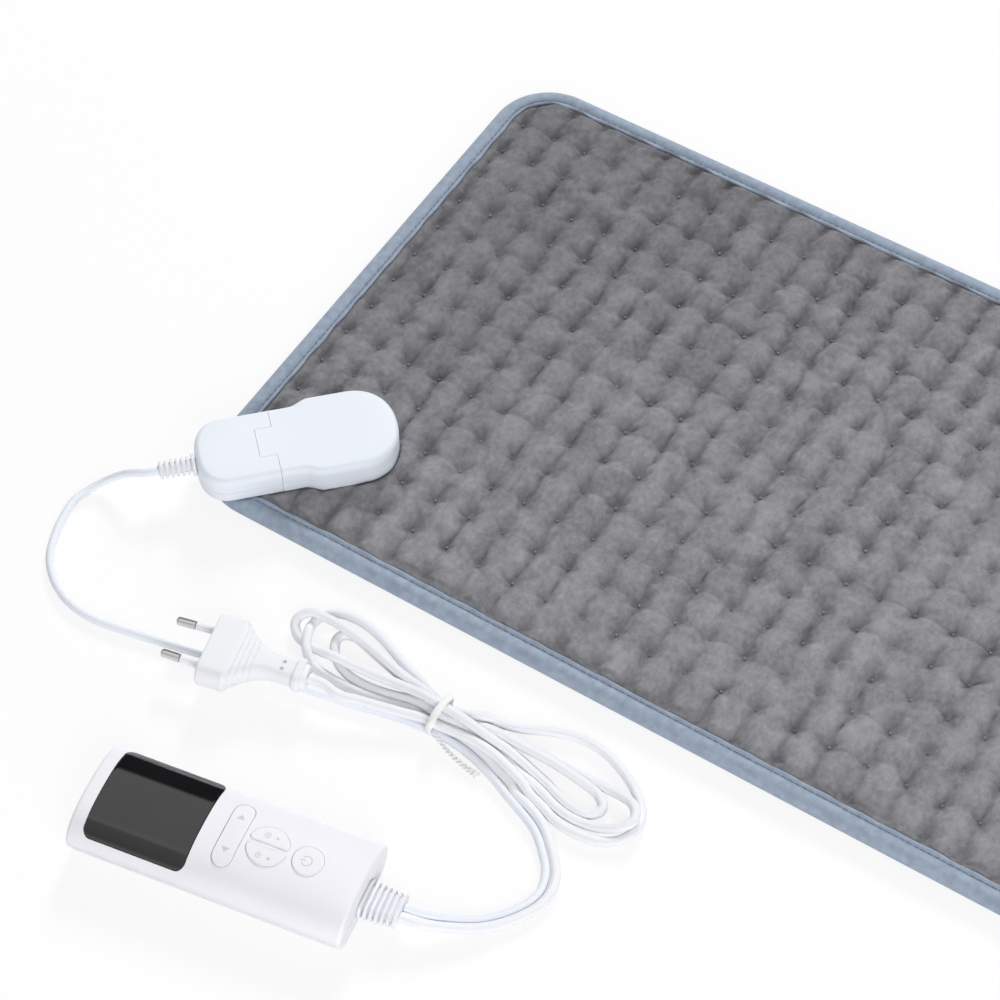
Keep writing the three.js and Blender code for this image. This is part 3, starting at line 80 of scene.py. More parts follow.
# %% Camera
scene = bpy.context.scene
camera_data = bpy.data.cameras.new("camera")
camera_data.lens = 105.588
camera_data.sensor_width = 36.0
camera = bpy.data.objects.new("camera", camera_data)
scene.collection.objects.link(camera)


def standing(right, up, back, place):
    """The matrix of a thing that stands at a place with these three axes."""
    matrix = np.eye(4)
    for column, axis in enumerate((right, up, back, place)):
        matrix[:3, column] = axis
    return Matrix(matrix.tolist())


camera_right = np.array([0.84581, 0.53348, 0.0])
camera_up = np.array([-0.4309, 0.6832, 0.5895])
camera_back = np.array([0.31447, -0.49859, 0.80778])
camera_place = np.array([0.24595, -0.74386, 1.0766])
camera.matrix_world = standing(camera_right, camera_up, camera_back, camera_place)
scene.camera = camera
scene.view_settings.view_transform = "Standard"
print("camera at", camera_place.round(3))

# %% [markdown]
# Almost every piece is a surface over a grid of points. These helpers turn such
# grids into closed meshes, put a group of points in its place on the part, and
# give a new piece its body, its finish and the CAD nodes that it stands for.

# %% Points and skins
def placed(points, origin=(0, 0, 0), turn=0.0):
    """Group axes to part axes: a turn about +Z in degrees, then a shift."""
    points = np.asarray(points, float)
    c, s = math.cos(math.radians(turn)), math.sin(math.radians(turn))
    x, y, z = points[..., 0], points[..., 1], points[..., 2]
    return np.stack([c * x - s * y + origin[0], s * x + c * y + origin[1], z + origin[2]], axis=-1)


CONNECTOR = {"origin": (-300, -150, 0), "turn": 45.0}
HANDSET = {"origin": (-170.8, -295.5, 0), "turn": 9.6}
PLUG = {"origin": (-233, -220.6, 10.95), "turn": 13.0}


def skin(grid, ring=False, loop=False, caps=False):
    """Faces over a grid: each joins points i, i+1 of neighbouring rows. ring closes
    every row on itself, loop joins the last row to the first, caps fan over the ends."""
    grid = np.asarray(grid, float)
    rows, columns = grid.shape[:2]
    index = np.arange(rows * columns).reshape(rows, columns)
    if ring:
        index = np.concatenate([index, index[:, :1]], axis=1)
    if loop:
        index = np.concatenate([index, index[:1]], axis=0)
    quads = np.stack([index[:-1, :-1], index[:-1, 1:], index[1:, 1:], index[1:, :-1]], axis=-1)
    faces = quads.reshape(-1, 4).tolist()
    points = grid.reshape(-1, 3)
    if caps:
        middles = np.stack([grid[0].mean(axis=0), grid[-1].mean(axis=0)])
        first, last = index[0], index[-1]
        low, high = len(points), len(points) + 1
        faces += np.stack([first[1:], first[:-1], np.full(len(first) - 1, low)], -1).tolist()
        faces += np.stack([last[:-1], last[1:], np.full(len(last) - 1, high)], -1).tolist()
        points = np.concatenate([points, middles])
    return points, faces


def joined(*skins):
    """Several skins as one: the points in a row, and each skin's faces counted on."""
    points, faces, start = [], [], 0
    for some_points, some_faces in skins:
        points.append(some_points)
        faces += [[k + start for k in face] for face in some_faces]
        start += len(some_points)
    return np.concatenate(points), faces


def moved(some_skin, place):
    """A skin of one group in the part's axes."""
    return placed(some_skin[0], **place), some_skin[1]


# %% Meshes
import bmesh

SHARP = 35.0


def new_mesh(name, some_skin, sharp=SHARP):
    """A mesh in metres with outward faces, smooth up to the sharp angle in degrees."""
    points, faces = some_skin
    mesh = bpy.data.meshes.new(name)
    mesh.from_pydata((points * MM).tolist(), [], faces)
    work = bmesh.new()
    work.from_mesh(mesh)
    bmesh.ops.remove_doubles(work, verts=work.verts, dist=1e-7)
    bmesh.ops.recalc_face_normals(work, faces=work.faces)
    work.to_mesh(mesh)
    work.free()
    mesh.shade_smooth()
    mesh.set_sharp_from_angle(angle=math.radians(sharp))
    return mesh


def new_object(name, some_skin, sharp=SHARP):
    """An object of one mesh, at the origin, in the scene."""
    made = bpy.data.objects.new(name, new_mesh(name, some_skin, sharp))
    scene.collection.objects.link(made)
    return made


def piece(name, some_skin, body, finish, stands_for=(), sharp=SHARP):
    """A visible piece: its mesh, its finish, the nodes it stands for and its body."""
    made = new_object(name, some_skin, sharp)
    made.data.materials.append(finish)
    if stands_for:
        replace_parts(made, *stands_for)
    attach(made, body)
    return made


def carved(made, cutters, joins=()):
    """Adds closed skins to an object's mesh, takes others out, and keeps the result."""
    steps = [("UNION", some) for some in joins] + [("DIFFERENCE", some) for some in cutters]
    for operation, some in steps:
        tool = new_object("tool", some)
        change = made.modifiers.new("cut", "BOOLEAN")
        change.operation, change.solver, change.object = operation, "EXACT", tool
        evaluated = made.evaluated_get(bpy.context.evaluated_depsgraph_get())
        result = bpy.data.meshes.new_from_object(evaluated)
        made.modifiers.clear()
        made.data = result
        bpy.data.objects.remove(tool)
    made.data.shade_smooth()
    made.data.set_sharp_from_angle(angle=math.radians(SHARP))


# %% [markdown]
# Colours are written as sRGB hex values and turned to linear light by one
# function. One small function adds a node, sets its values and links its inputs,
# and each material starts from the same few nodes.

# %% Colours and nodes
def linear(hexadecimal):
    """sRGB hex to linear: c/12.92 when dark, ((c+0.055)/1.055)^2.4 otherwise."""
    parts = np.array([int(hexadecimal[k:k + 2], 16) for k in (0, 2, 4)]) / 255
    light = np.where(parts <= 0.04045, parts / 12.92, ((parts + 0.055) / 1.055) ** 2.4)
    return (*light.tolist(), 1.0)


def add(tree, kind, inputs=None, **settings):
    """Adds a node: settings are its properties, inputs are values or output sockets."""
    made = tree.nodes.new(kind)
    for key, value in settings.items():
        setattr(made, key, value)
    for key, value in (inputs or {}).items():
        if isinstance(value, bpy.types.NodeSocket):
            tree.links.new(value, made.inputs[key])
        else:
            made.inputs[key].default_value = value
    return made


def new_material(name, **values):
    """A principled material; values are set straight on the shader's own sockets."""
    made = bpy.data.materials.new(name)
    made.use_nodes = True
    tree = made.node_tree
    shader = tree.nodes["Principled BSDF"]
    for key, value in values.items():
        shader.inputs[key.replace("_", " ")].default_value = value
    where = add(tree, "ShaderNodeTexCoord")
    return made, tree, shader, where.outputs["Object"]


def ramp(tree, factor, stops):
    """A colour ramp through (position, hex) stops."""
    made = add(tree, "ShaderNodeValToRGB", {"Fac": factor})
    elements = made.color_ramp.elements
    while len(elements) < len(stops):
        elements.new(0.5)
    for element, (position, colour) in zip(elements, stops):
        element.position = position
        element.color = linear(colour)
    return made.outputs["Color"]


def noise(tree, where, scale, detail=2.0, roughness=0.5):
    """Fractal noise over a place, near 0.5; the scale counts its lumps in a metre."""
    inputs = {"Vector": where, "Scale": scale, "Detail": detail, "Roughness": roughness}
    return add(tree, "ShaderNodeTexNoise", inputs).outputs["Fac"]


def maths(tree, operation, *values):
    """The result of a math node over numbers and output sockets."""
    return add(tree, "ShaderNodeMath", dict(enumerate(values)), operation=operation).outputs[0]


def mapped(tree, value, to_range, from_range=(0.0, 1.0), way="LINEAR"):
    """A value taken from one range to another, along a line or a smooth step."""
    inputs = {"Value": value, "From Min": from_range[0], "From Max": from_range[1],
              "To Min": to_range[0], "To Max": to_range[1]}
    return add(tree, "ShaderNodeMapRange", inputs, interpolation_type=way).outputs["Result"]


def tinted(tree, shader, factor, shade, light, low=0.3, high=0.7):
    """Base colour from a factor: the shade up to low, the light from high on."""
    colour = ramp(tree, factor, [(low, shade), (high, light)])
    tree.links.new(colour, shader.inputs["Base Color"])


def bumped(tree, shader, height, distance, strength=1.0, base=None):
    """Links a height pattern into the shader's normal, distance in millimetres."""
    inputs = {"Height": height, "Distance": distance * MM, "Strength": strength}
    if base is not None:
        inputs["Normal"] = base
    made = add(tree, "ShaderNodeBump", inputs)
    tree.links.new(made.outputs["Normal"], shader.inputs["Normal"])
    return made.outputs["Normal"]


# %% [markdown]
# The housings are ABS, injection moulded in a spark-eroded tool: white with a
# cool tint, a satin surface with a very fine even grain, and slight flow
# mottling. The controller's white is a little warmer than the connector's.

# %% Moulded plastics
def moulded(name, light, shade, roughness, grain=0.35, depth=0.012, specular=0.5):
    """Satin plastic: slow colour drift over centimetres, grain near a third of a mm."""
    made, tree, shader, where = new_material(name, IOR=1.54, Specular_IOR_Level=specular)
    tinted(tree, shader, noise(tree, where, 22.0), shade, light)
    fine = noise(tree, where, 1 / (grain * MM), 1.0)
    gloss = mapped(tree, fine, (roughness - 0.05, roughness + 0.07))
    tree.links.new(gloss, shader.inputs["Roughness"])
    bumped(tree, shader, fine, depth)
    return made


connector_abs = moulded("connector_abs_satin_white", "eef3fa", "e9eff8", 0.34)
handset_abs = moulded("controller_abs_satin_white", "f1f1f6", "edecf3", 0.36)
key_rubber = moulded("key_silicone_moulded_white", "f2f2f6", "ecebf1", 0.46, 0.3, 0.016, 0.4)
cord_pvc = moulded("cord_pvc_extruded_white", "f2f3f7", "eceef3", 0.38, 0.5, 0.02, 0.45)
relief_pvc = moulded("strain_relief_pvc_moulded_white", "eff0f5", "e9eaf0", 0.42, 0.3, 0.016, 0.4)
plug_pvc = moulded("plug_pvc_moulded_white", "f1f2f6", "ebecf1", 0.4, 0.35, 0.018, 0.42)
pad_cord_pvc = moulded("pad_cord_pvc_extruded_cool_white", "eef2f9", "e6ebf5",
                       0.36, 0.5, 0.02, 0.45)
dark_abs = moulded("contact_block_nylon_dark", "2f3034", "26272a", 0.5)

# %% [markdown]
# Metals: the plug's pins are nickel plated brass, the screws zinc plated steel,
# and the contacts plain drawn brass. Each has fine lines along the way it was
# turned or drawn.

# %% Metals
def drawn_metal(name, light, shade, roughness, line=0.12):
    """Metal with fine lines: noise squeezed to thin streaks across one axis."""
    made, tree, shader, where = new_material(name, Metallic=1.0, Roughness=roughness)
    streak = add(tree, "ShaderNodeMapping", {"Vector": where, "Scale": (1.0, 1.0, 0.12)})
    fine = noise(tree, streak.outputs["Vector"], 1 / (line * MM))
    tinted(tree, shader, fine, shade, light)
    bumped(tree, shader, fine, 0.002)
    return made


nickel = drawn_metal("pin_nickel_plated_turned", "e6e4e0", "d8d5d0", 0.34, 0.06)
zinc = drawn_metal("screw_steel_zinc_plated", "c6c8cb", "a9abaf", 0.3)
brass = drawn_metal("contact_brass_drawn", "d2b26a", "b8964f", 0.3)

# %% [markdown]
# Inside the controller: a glass-fibre board with green solder mask, and dark
# moulded parts. Inside the pad: a needled fleece that carries the heating wire,
# whose jacket is silicone.

# %% Board, fleece and wire
def plain_fibre(name, light, shade, roughness, size, depth):
    """A matt fibrous finish: two noises at the fibre's size and at ten times it."""
    made, tree, shader, where = new_material(name, Roughness=roughness)
    coarse = noise(tree, where, 0.1 / (size * MM), 3.0)
    tinted(tree, shader, coarse, shade, light, 0.35, 0.65)
    bumped(tree, shader, noise(tree, where, 1 / (size * MM), 4.0), depth)
    return made


solder_mask = plain_fibre("board_glass_fibre_green_mask", "3a7a53", "2b6443", 0.42, 0.8, 0.03)
fleece = plain_fibre("carrier_polyester_needled_fleece", "dedcd4", "cfccc2", 0.95, 0.9, 0.12)
wire_silicone = plain_fibre("wire_silicone_extruded", "cdbfa9", "bca98e", 0.55, 0.6, 0.02)
tie_paper = plain_fibre("tie_paper_over_wire", "f6f6f6", "ededee", 0.75, 0.5, 0.04)

# %% [markdown]
# The plush is a warp-knit with a short brushed pile: grey with patches where the
# pile lies another way, a soft sheen at grazing angles, and a fibre grain of about
# half a millimetre, drawn a little coarse so that it shows. Painted shade is in its
# colour too: darker in the tuft pits and creases, and darker towards -X +Y. The
# binding is a fine brushed twill in blue grey, sewn with polyester thread.

# %% Cloths
# Span of x - y, in metres, over which the plush colour is darkened as painted shade.
GRADIENT_SHADE_SPAN = (-0.4, 0.0)


def plush_cloth(name, light, middle, shade, sheen, gradient_shade_level):
    """Pile brushed along Y: patches and streaks in the colour, fibres in the relief; painted shade
    mixed towards near black where the piece's own attribute marks the tuft pits and creases, and a
    painted shade gradient that scales the colour down towards -X +Y."""
    made, tree, shader, place = new_material(
        name, Roughness=0.92, Specular_IOR_Level=0.2, Sheen_Weight=sheen,
        Sheen_Roughness=0.45, Sheen_Tint=linear("d8d6dc"))
    combed = add(tree, "ShaderNodeVectorMath", {0: place, 1: (1.0, 0.75, 1.0)},
        operation="MULTIPLY").outputs[0]
    lay = noise(tree, combed, 70.0, 3.0, 0.6)
    nap = noise(tree, combed, 430.0, 3.0, 0.7)
    both = add(tree, "ShaderNodeMix", {0: 0.45, 2: lay, 3: nap}, data_type="FLOAT")
    colour = ramp(tree, both.outputs[0], [(0.36, shade), (0.5, middle), (0.64, light)])
    # Painted shade: the piece's attribute for the pits and creases mixes the colour towards near
    # black 2c2c2f.
    crease_shade_share = add(tree, "ShaderNodeAttribute", attribute_name="crease_shade").outputs["Fac"]
    dark = maths(tree, "MULTIPLY", crease_shade_share, 0.62)
    mixed = add(tree, "ShaderNodeMix", {0: dark, 6: colour, 7: linear("2c2c2f")}, data_type="RGBA")
    # Painted shade: the colour is scaled down smoothly towards -X +Y, to the given level at the far
    # end of the span.
    axes = add(tree, "ShaderNodeSeparateXYZ", {0: place}).outputs
    slant = maths(tree, "SUBTRACT", axes["X"], axes["Y"])
    gradient_shade = mapped(tree, slant, (gradient_shade_level, 1.0), GRADIENT_SHADE_SPAN, "SMOOTHSTEP")
    gradient_shaded_colour = add(tree, "ShaderNodeVectorMath", {0: mixed.outputs[2], "Scale": gradient_shade},
        operation="SCALE")
    tree.links.new(gradient_shaded_colour.outputs[0], shader.inputs["Base Color"])
    soft = bumped(tree, shader, nap, 0.5, 0.6)
    bumped(tree, shader, noise(tree, combed, 1400.0, 4.0, 0.7), 0.22, 0.7, soft)
    return made


# The cover's colour is darkened to 0.72 towards -X +Y as painted shade; the back's is not.
plush = plush_cloth("plush_polyester_brushed_grey", "9b9b9f", "8c8c90", "79797d", 0.1, 0.72)
back_plush = plush_cloth("back_polyester_brushed_grey", "9a9a9e", "8d8d91", "7f7f83", 0.06, 1.0)


def twill_tape(name, light, shade, pitch=0.75):
    """Twill: slanting ribs from a sine over x+y+z, broken by noise, and soft lint."""
    made, tree, shader, where = new_material(
        name, Roughness=0.85, Specular_IOR_Level=0.25, Sheen_Weight=0.1)
    tinted(tree, shader, noise(tree, where, 260.0, 3.0), shade, light)
    inputs = {"Vector": where, "Scale": 1 / (pitch * MM) / 20, "Distortion": 1.5, "Detail": 2.0}
    ribs = add(tree, "ShaderNodeTexWave", inputs, bands_direction="DIAGONAL")
    first = bumped(tree, shader, ribs.outputs["Fac"], 0.08, 0.6)
    bumped(tree, shader, noise(tree, where, 1500.0, 3.0), 0.1, 0.6, first)
    return made


twill = twill_tape("binding_polyester_twill_blue_grey", "a1aebe", "8f9bac")


def thread(name, light, shade):
    """Twisted thread: fine diagonal bands of light and shade."""
    made, tree, shader, where = new_material(name, Roughness=0.7)
    twist = add(tree, "ShaderNodeTexWave", {"Vector": where, "Scale": 130.0},
        bands_direction="DIAGONAL").outputs["Fac"]
    tinted(tree, shader, twist, shade, light, 0.2, 0.8)
    bumped(tree, shader, twist, 0.05)
    return made


tuft_thread = thread("tuft_thread_polyester_grey", "98989e", "7e7e84")
seam_thread = thread("seam_thread_polyester_blue_grey", "7d8897", "6f7a88")

# %% [markdown]
# The display window is a tinted acrylic lens, polished, so it is almost black and
# mirrors the studio softly.

# %% Window
lens_glass, tree, shader, where = new_material(
    "display_window_acrylic_tinted_polished", Roughness=0.09, IOR=1.49,
    Coat_Weight=0.95, Coat_Roughness=0.05)
tinted(tree, shader, noise(tree, where, 45.0, 1.0), "111113", "171719")
bumped(tree, shader, noise(tree, where, 60.0), 0.01, 0.4)

# %% [markdown]
# The cover is short-pile plush, sewn through to the back at small tufts on a grid,
# so the filling stands up between them in soft square puffs. It could be simulated
# as cloth, but the tufts sit at known places and a formula keeps them there, so it
# is worked out as a height over the plan: pits at the tufts, valleys between them
# along the rows and columns, small pleats round each pit, and slow unevenness.

# %% Noise and the pad's outline
def eased(t):
    """Smooth step from 0 to 1: t*t*(3-2t), held outside."""
    t = np.clip(t, 0.0, 1.0)
    return t * t * (3 - 2 * t)


def drift(x, y, size, seed):
    """Value noise from -1 to 1: random heights on a lattice of that size in mm,
    blended with the smooth step in both directions."""
    lattice = np.random.default_rng(seed).uniform(-1, 1, (512, 512))
    u, v = np.asarray(x) / size + 200, np.asarray(y) / size + 200
    i, j = np.floor(u).astype(int), np.floor(v).astype(int)
    a, b = eased(u - i), eased(v - j)
    i, j = i % 512, j % 512
    m, n = (i + 1) % 512, (j + 1) % 512
    low = lattice[i, j] * (1 - a) + lattice[m, j] * a
    high = lattice[i, n] * (1 - a) + lattice[m, n] * a
    return low * (1 - b) + high * b


PAD_HALF = np.array([300.0, 150.0])
CORNER_RADIUS = 30.0
LIP_INSET = 10.3
LIP_LEVEL, PRESSED_LEVEL = 6.3, 7.1
COLUMN_PITCH, ROW_PITCH = 17.75, 19.65
TUFT_LEVEL, CROWN_LEVEL, CROWN_DROP = 5.5, 10.1, 3.5
TUFT_WANDER = 1.2
COVER_BOTTOM = 5.1
HALF_WIDTH, WAIST_STEP = 19.0, 3.3
CAP_LENGTH, CAP_POWER = 20.8, 2.2
SEAT_START, SEAT_WAIST, SEAT_CAP, SEAT_END = 6, 57, 80, 101


def half_length(y, inset):
    """Half length of the rounded rectangle at y: the side's, less the corner's circle."""
    side = PAD_HALF - inset
    radius = CORNER_RADIUS - inset
    into = np.clip(np.abs(y) - (side[1] - radius), 0, radius)
    return side[0] - radius + np.sqrt(radius ** 2 - into ** 2)


def housing_press(x, y, margin):
    """1 under the connector, falling to 0 over the margin, in the corner's own axes."""
    c = math.sqrt(0.5)
    from_end, from_side = x + PAD_HALF[0], y + PAD_HALF[1]
    along = (from_end + from_side) * c
    across = np.abs(from_side - from_end) * c
    width = HALF_WIDTH + WAIST_STEP * eased((along - SEAT_WAIST) / 4)
    cap = np.clip((along - SEAT_CAP) / CAP_LENGTH, 0, 1)
    width = width * np.clip(1 - cap ** CAP_POWER, 0, 1) ** (1 / CAP_POWER)
    width = np.where((along > SEAT_START) & (along < SEAT_END), width, -margin)
    return eased((width + margin - across) / margin)


# %% Quilt height
def wander(x, y):
    """How far the grid of tufts is shifted at a place, in x and in y."""
    return TUFT_WANDER * drift(x, y, 21, 11), TUFT_WANDER * drift(x, y, 23, 12)


def from_tuft(x, y):
    """Steps in x and y from the nearest tuft of the wandering grid, and its numbers."""
    shift_x, shift_y = wander(x, y)
    shifted_x, shifted_y = x + shift_x, y + shift_y
    k, j = np.round(shifted_x / COLUMN_PITCH), np.round(shifted_y / ROW_PITCH)
    return shifted_x - k * COLUMN_PITCH, shifted_y - j * ROW_PITCH, k, j


def creases(x, y):
    """Distances from the pleated tuft and from the bent column and row lines, how far a
    point is from the tuft on a scale to 1, small pleats cos(7*angle) round the tuft, and
    how hard that tuft is drawn down."""
    u, v, k, j = from_tuft(x, y)
    theta = np.arctan2(v, u)
    own = 2.4 * drift(k * 7.3, j * 5.1, 3.1, 16)
    r = np.hypot(u, v) * (1 + 0.22 * np.cos(2 * theta + own) + 0.26 * np.cos(5 * theta + 3 * own))
    away = 1 - np.exp(-(r / 4.5) ** 2)
    bend = away * (1.4 * drift(x, y, 9, 13) + 0.8 * drift(x, y, 3.7, 22))
    pleats = np.exp(-((np.hypot(u, v) - 3.4) / 2.0) ** 2) * np.cos(7 * theta + 5 * own)
    pull = 0.88 + 0.34 * drift(k * 3.7, j * 8.3, 2.3, 26)
    return r, np.abs(u + bend), np.abs(v + 0.6 * bend), away, pleats, pull


def quilt_height(x, y):
    """The crown less three drops: a narrow pit, 0.46 exp(-r/1.5) + 0.48 exp(-(r/5)^2), and soft
    valleys, exp(-(d/3.6)^2)/2 along the columns and 0.22 exp(-(d/3.8)^2) along the rows, each with a
    sharper crease exp(-d/0.9); folds, wrinkles and the pleats are added, and nothing sinks under
    TUFT_LEVEL."""
    r, column, row, away, pleats, pull = creases(x, y)
    pit = pull * (0.46 * np.exp(-np.sqrt(r ** 2 + 0.1) / 1.5) + 0.48 * np.exp(-(r / 5.0) ** 2))
    sharp = np.clip(0.3 + 0.32 * drift(x, y, 19, 14), 0, 1)
    column = sharp * np.exp(-column / 0.9) + 0.5 * np.exp(-(column / 3.6) ** 2)
    column = column * (0.95 + 0.5 * drift(x, y, 27, 24))
    sharp = np.clip(0.22 * drift(x, y, 23, 20), 0, 1)
    row = sharp * np.exp(-row / 0.9) + 0.22 * np.exp(-(row / 3.8) ** 2)
    row = row * (0.85 + 0.7 * drift(x, y, 31, 15))
    folds = 1 - np.abs(drift(x * 1.4 + y * 0.3, y, 9.5, 17)) * 2
    wrinkle = 1 - np.abs(drift(x, y * 0.7, 4.2, 18)) * 2
    height = CROWN_LEVEL - CROWN_DROP * (pit + np.clip(column, 0, 1) + np.clip(row, 0, 1))
    height += away * (0.34 * folds + 0.3 * wrinkle + 0.26 * drift(x, y * 0.6, 2.6, 25)
                      + 0.3 * drift(x, y, 47, 19))
    height += 0.18 * pleats
    return TUFT_LEVEL + 0.5 * (height - TUFT_LEVEL + np.hypot(height - TUFT_LEVEL, 0.35))


def painted_crease_shade(x, y):
    """Painted shade, 0 to 1, put into the cover's colour where the pits and creases lie in shade:
    exp(-r^2) round each tuft and exp(-d^2) along the sharp creases, each at its own scale."""
    r, column, row, away, _, pull = creases(x, y)
    lines = np.clip(0.7 + 0.9 * drift(x, y, 19, 14), 0, 1) * np.exp(-(column / 1.3) ** 2)
    lines = np.maximum(lines, np.clip(0.1 + 0.9 * drift(x, y, 23, 20), 0, 1)
                       * np.exp(-(row / 0.8) ** 2))
    pit = pull * (0.32 * np.exp(-(r / 2.0) ** 2) + 0.36 * np.exp(-(r / 4.4) ** 2))
    return np.clip(pit + 0.6 * away * lines, 0, 1)


def cover_height(x, y):
    """The quilt, let down to the lip at its edge and pressed flat under the connector."""
    edge = np.minimum(PAD_HALF[1] - LIP_INSET - np.abs(y), half_length(y, LIP_INSET) - np.abs(x))
    height = quilt_height(x, y)
    height = LIP_LEVEL + (height - LIP_LEVEL) * eased((edge + 1.0) / 4.2)
    pressed = np.minimum(height, PRESSED_LEVEL)
    press = housing_press(x, y, 3.0)
    return height * (1 - press) + pressed * press


# %% Quilted cover
def cover_grid(columns, rows, inset):
    """Plan points: rows in y, each row stretched to the outline's half length there."""
    side = PAD_HALF - inset
    y = np.linspace(-side[1], side[1], rows)[:, None] * np.ones((1, columns))
    x = np.linspace(-1, 1, columns)[None, :] * half_length(y, inset)
    return x, y


def slab(x, y, level, other_side):
    """A closed sheet: its shaped side as a grid, then a rim down to a flat side."""
    shaped = np.stack([x, y, level + 0 * x], axis=-1)
    rim = np.concatenate([shaped[0], shaped[1:, -1], shaped[-1, -2::-1], shaped[-2:0:-1, 0]])
    flat = rim.copy()
    flat[:, 2] = other_side
    rim_faces = skin(np.stack([rim, flat]), ring=True)
    middle = np.array([[0.0, 0.0, other_side]])
    count = len(flat)
    fan = [[k, (k + 1) % count, count] for k in range(count)]
    return joined(skin(shaped), rim_faces, (np.concatenate([flat, middle]), fan))


cover_x, cover_y = cover_grid(560, 272, LIP_INSET - 1.2)
quilt_skin = slab(cover_x, cover_y, cover_height(cover_x, cover_y), COVER_BOTTOM)
quilt = piece("quilted_cover", quilt_skin, "pad", plush, ["pad_top_cover"], sharp=80)
corners = np.empty(len(quilt.data.vertices) * 3)
quilt.data.vertices.foreach_get("co", corners)
corner_x, corner_y = corners[0::3] / MM, corners[1::3] / MM
# Painted shade for the cover's colour: how far each point in the tuft pits and creases is darkened.
crease_shade = painted_crease_shade(corner_x, corner_y) * (1 - housing_press(corner_x, corner_y, 2.0))
quilt.data.attributes.new("crease_shade", "FLOAT", "POINT").data.foreach_set("value", crease_shade)
print("cover faces", len(quilt.data.polygons), "crease_shade_share", crease_shade.mean().round(3))

# %% [markdown]
# Each tuft is held by two crossed bars of thread that show as a light dot in its pit.

# %% Tuft stitches
def whole_turn(count):
    """Angles of one whole turn, the end left out."""
    return np.linspace(0, 2 * math.pi, count, endpoint=False)


def repeated(form, places, turns):
    """Copies of one small grid form at places, each turned about +Z, as one skin."""
    points, faces = form
    c, s = np.cos(turns)[:, None], np.sin(turns)[:, None]
    x = points[None, :, 0] * c - points[None, :, 1] * s + places[:, :1]
    y = points[None, :, 0] * s + points[None, :, 1] * c + places[:, 1:2]
    z = points[None, :, 2] + places[:, 2:3]
    count = len(points)
    copies = [[k + n * count for k in face] for n in range(len(places)) for face in faces]
    return np.stack([x, y, z], axis=-1).reshape(-1, 3), copies


def bead(length, width, height, rings=5, sides=6):
    """A small thread bar: circles whose radius follows sqrt(1 - t^4) along its length."""
    t = np.linspace(-0.96, 0.96, rings)[:, None]
    angle = whole_turn(sides)[None, :]
    round_ = np.sqrt(1 - t ** 4)
    grid = np.stack([t * length / 2 + 0 * angle, round_ * np.cos(angle) * width / 2,
                     round_ * np.sin(angle) * height / 2], axis=-1)
    return skin(grid, ring=True, caps=True)


TUFT_SIZE, TUFT_PROUD = (1.6, 0.7, 0.65), 0.55
tuft_k, tuft_j = (k.ravel() for k in np.meshgrid(np.arange(-16, 17), np.arange(-6, 7)))
tuft_x, tuft_y = tuft_k * COLUMN_PITCH, tuft_j * ROW_PITCH
for _ in range(4):
    shift_x, shift_y = wander(tuft_x, tuft_y)
    tuft_x, tuft_y = tuft_k * COLUMN_PITCH - shift_x, tuft_j * ROW_PITCH - shift_y
clear = housing_press(tuft_x, tuft_y, 2.0) < 0.05
tuft_x, tuft_y = tuft_x[clear], tuft_y[clear]
tuft_z = cover_height(tuft_x, tuft_y) + TUFT_PROUD
tuft_turns = 0.5 * drift(tuft_x, tuft_y, 5, 21) + 0.4
over_points, over_faces = bead(*TUFT_SIZE)
under_points = over_points[:, [1, 0, 2]] - [0, 0, 0.2]
crossed = joined((over_points, over_faces), (under_points, [face[::-1] for face in over_faces]))
tufts = repeated(crossed, np.stack([tuft_x, tuft_y, tuft_z], axis=-1), tuft_turns)
piece("tuft_stitches", tufts, "pad", tuft_thread)
print("tufts", len(tuft_x))

# %% [markdown]
# The edge is bound with a folded strip of soft twill. It is one closed profile
# carried round the pad's outline: a plump roll, a sewn groove and a thin lip that
# waves in and out with the tufts. The seam itself is a row of thread stitches.

# %% Edge binding
CORNER_SIGNS = np.array([(1, 1), (-1, 1), (-1, -1), (1, -1)])


def outline_path(step):
    """Points of the pad's outline with outward normals: straights and quarter turns."""
    side = PAD_HALF - CORNER_RADIUS
    arc = CORNER_RADIUS * math.pi / 2
    places, normals = [], []
    for corner in range(4):
        centre = side * CORNER_SIGNS[corner]
        angles = (corner + np.linspace(0, 1, max(8, int(arc / step)))) * math.pi / 2
        normal = np.stack([np.cos(angles), np.sin(angles)], axis=-1)
        places.append(centre + CORNER_RADIUS * normal)
        normals.append(normal)
        run = 2 * side[corner % 2]
        count = int(run / step)
        share = np.linspace(0, 1, count + 2)[1:-1, None]
        along = np.array([[-1, 0], [0, -1], [1, 0], [0, 1]])[corner] * run
        places.append(places[-1][-1] + share * along)
        normals.append(np.repeat(normal[-1:], count, axis=0))
    return np.concatenate(places), np.concatenate(normals)


def rounded_line(points, steps):
    """A closed line through points: Catmull-Rom, with the same steps between each."""
    p = np.asarray(points, float)
    t = np.linspace(0, 1, steps, endpoint=False)[:, None, None]
    a, b, c, d = np.roll(p, 1, 0), p, np.roll(p, -1, 0), np.roll(p, -2, 0)
    line = 0.5 * (2 * b + (c - a) * t + (2 * a - 5 * b + 4 * c - d) * t ** 2
                  + (3 * b - a - 3 * c + d) * t ** 3)
    return line.transpose(1, 0, 2).reshape(-1, p.shape[1])


BINDING_PROFILE = [
    (9.9, 6.8), (9.8, 7.4), (9.3, 7.75), (8.6, 7.6), (8.0, 6.95), (7.4, 6.85), (6.6, 7.45),
    (5.0, 7.95), (3.2, 7.7), (1.5, 6.7), (0.35, 5.2), (0.0, 3.5), (0.4, 1.7), (1.6, 0.5),
    (3.4, 0.05), (7.0, 0.0), (10.3, 0.05), (10.5, 0.8), (9.6, 1.4), (5.5, 2.0), (4.6, 3.8),
    (6.2, 5.6), (9.4, 6.2),
]
GROOVE_INSET = 7.7
SEAM_LEVEL = 7.0
LIP_UNDER_HOUSING = 6.9
STITCH_PITCH, STITCH_SIZE = 3.3, (2.6, 0.5, 0.5)

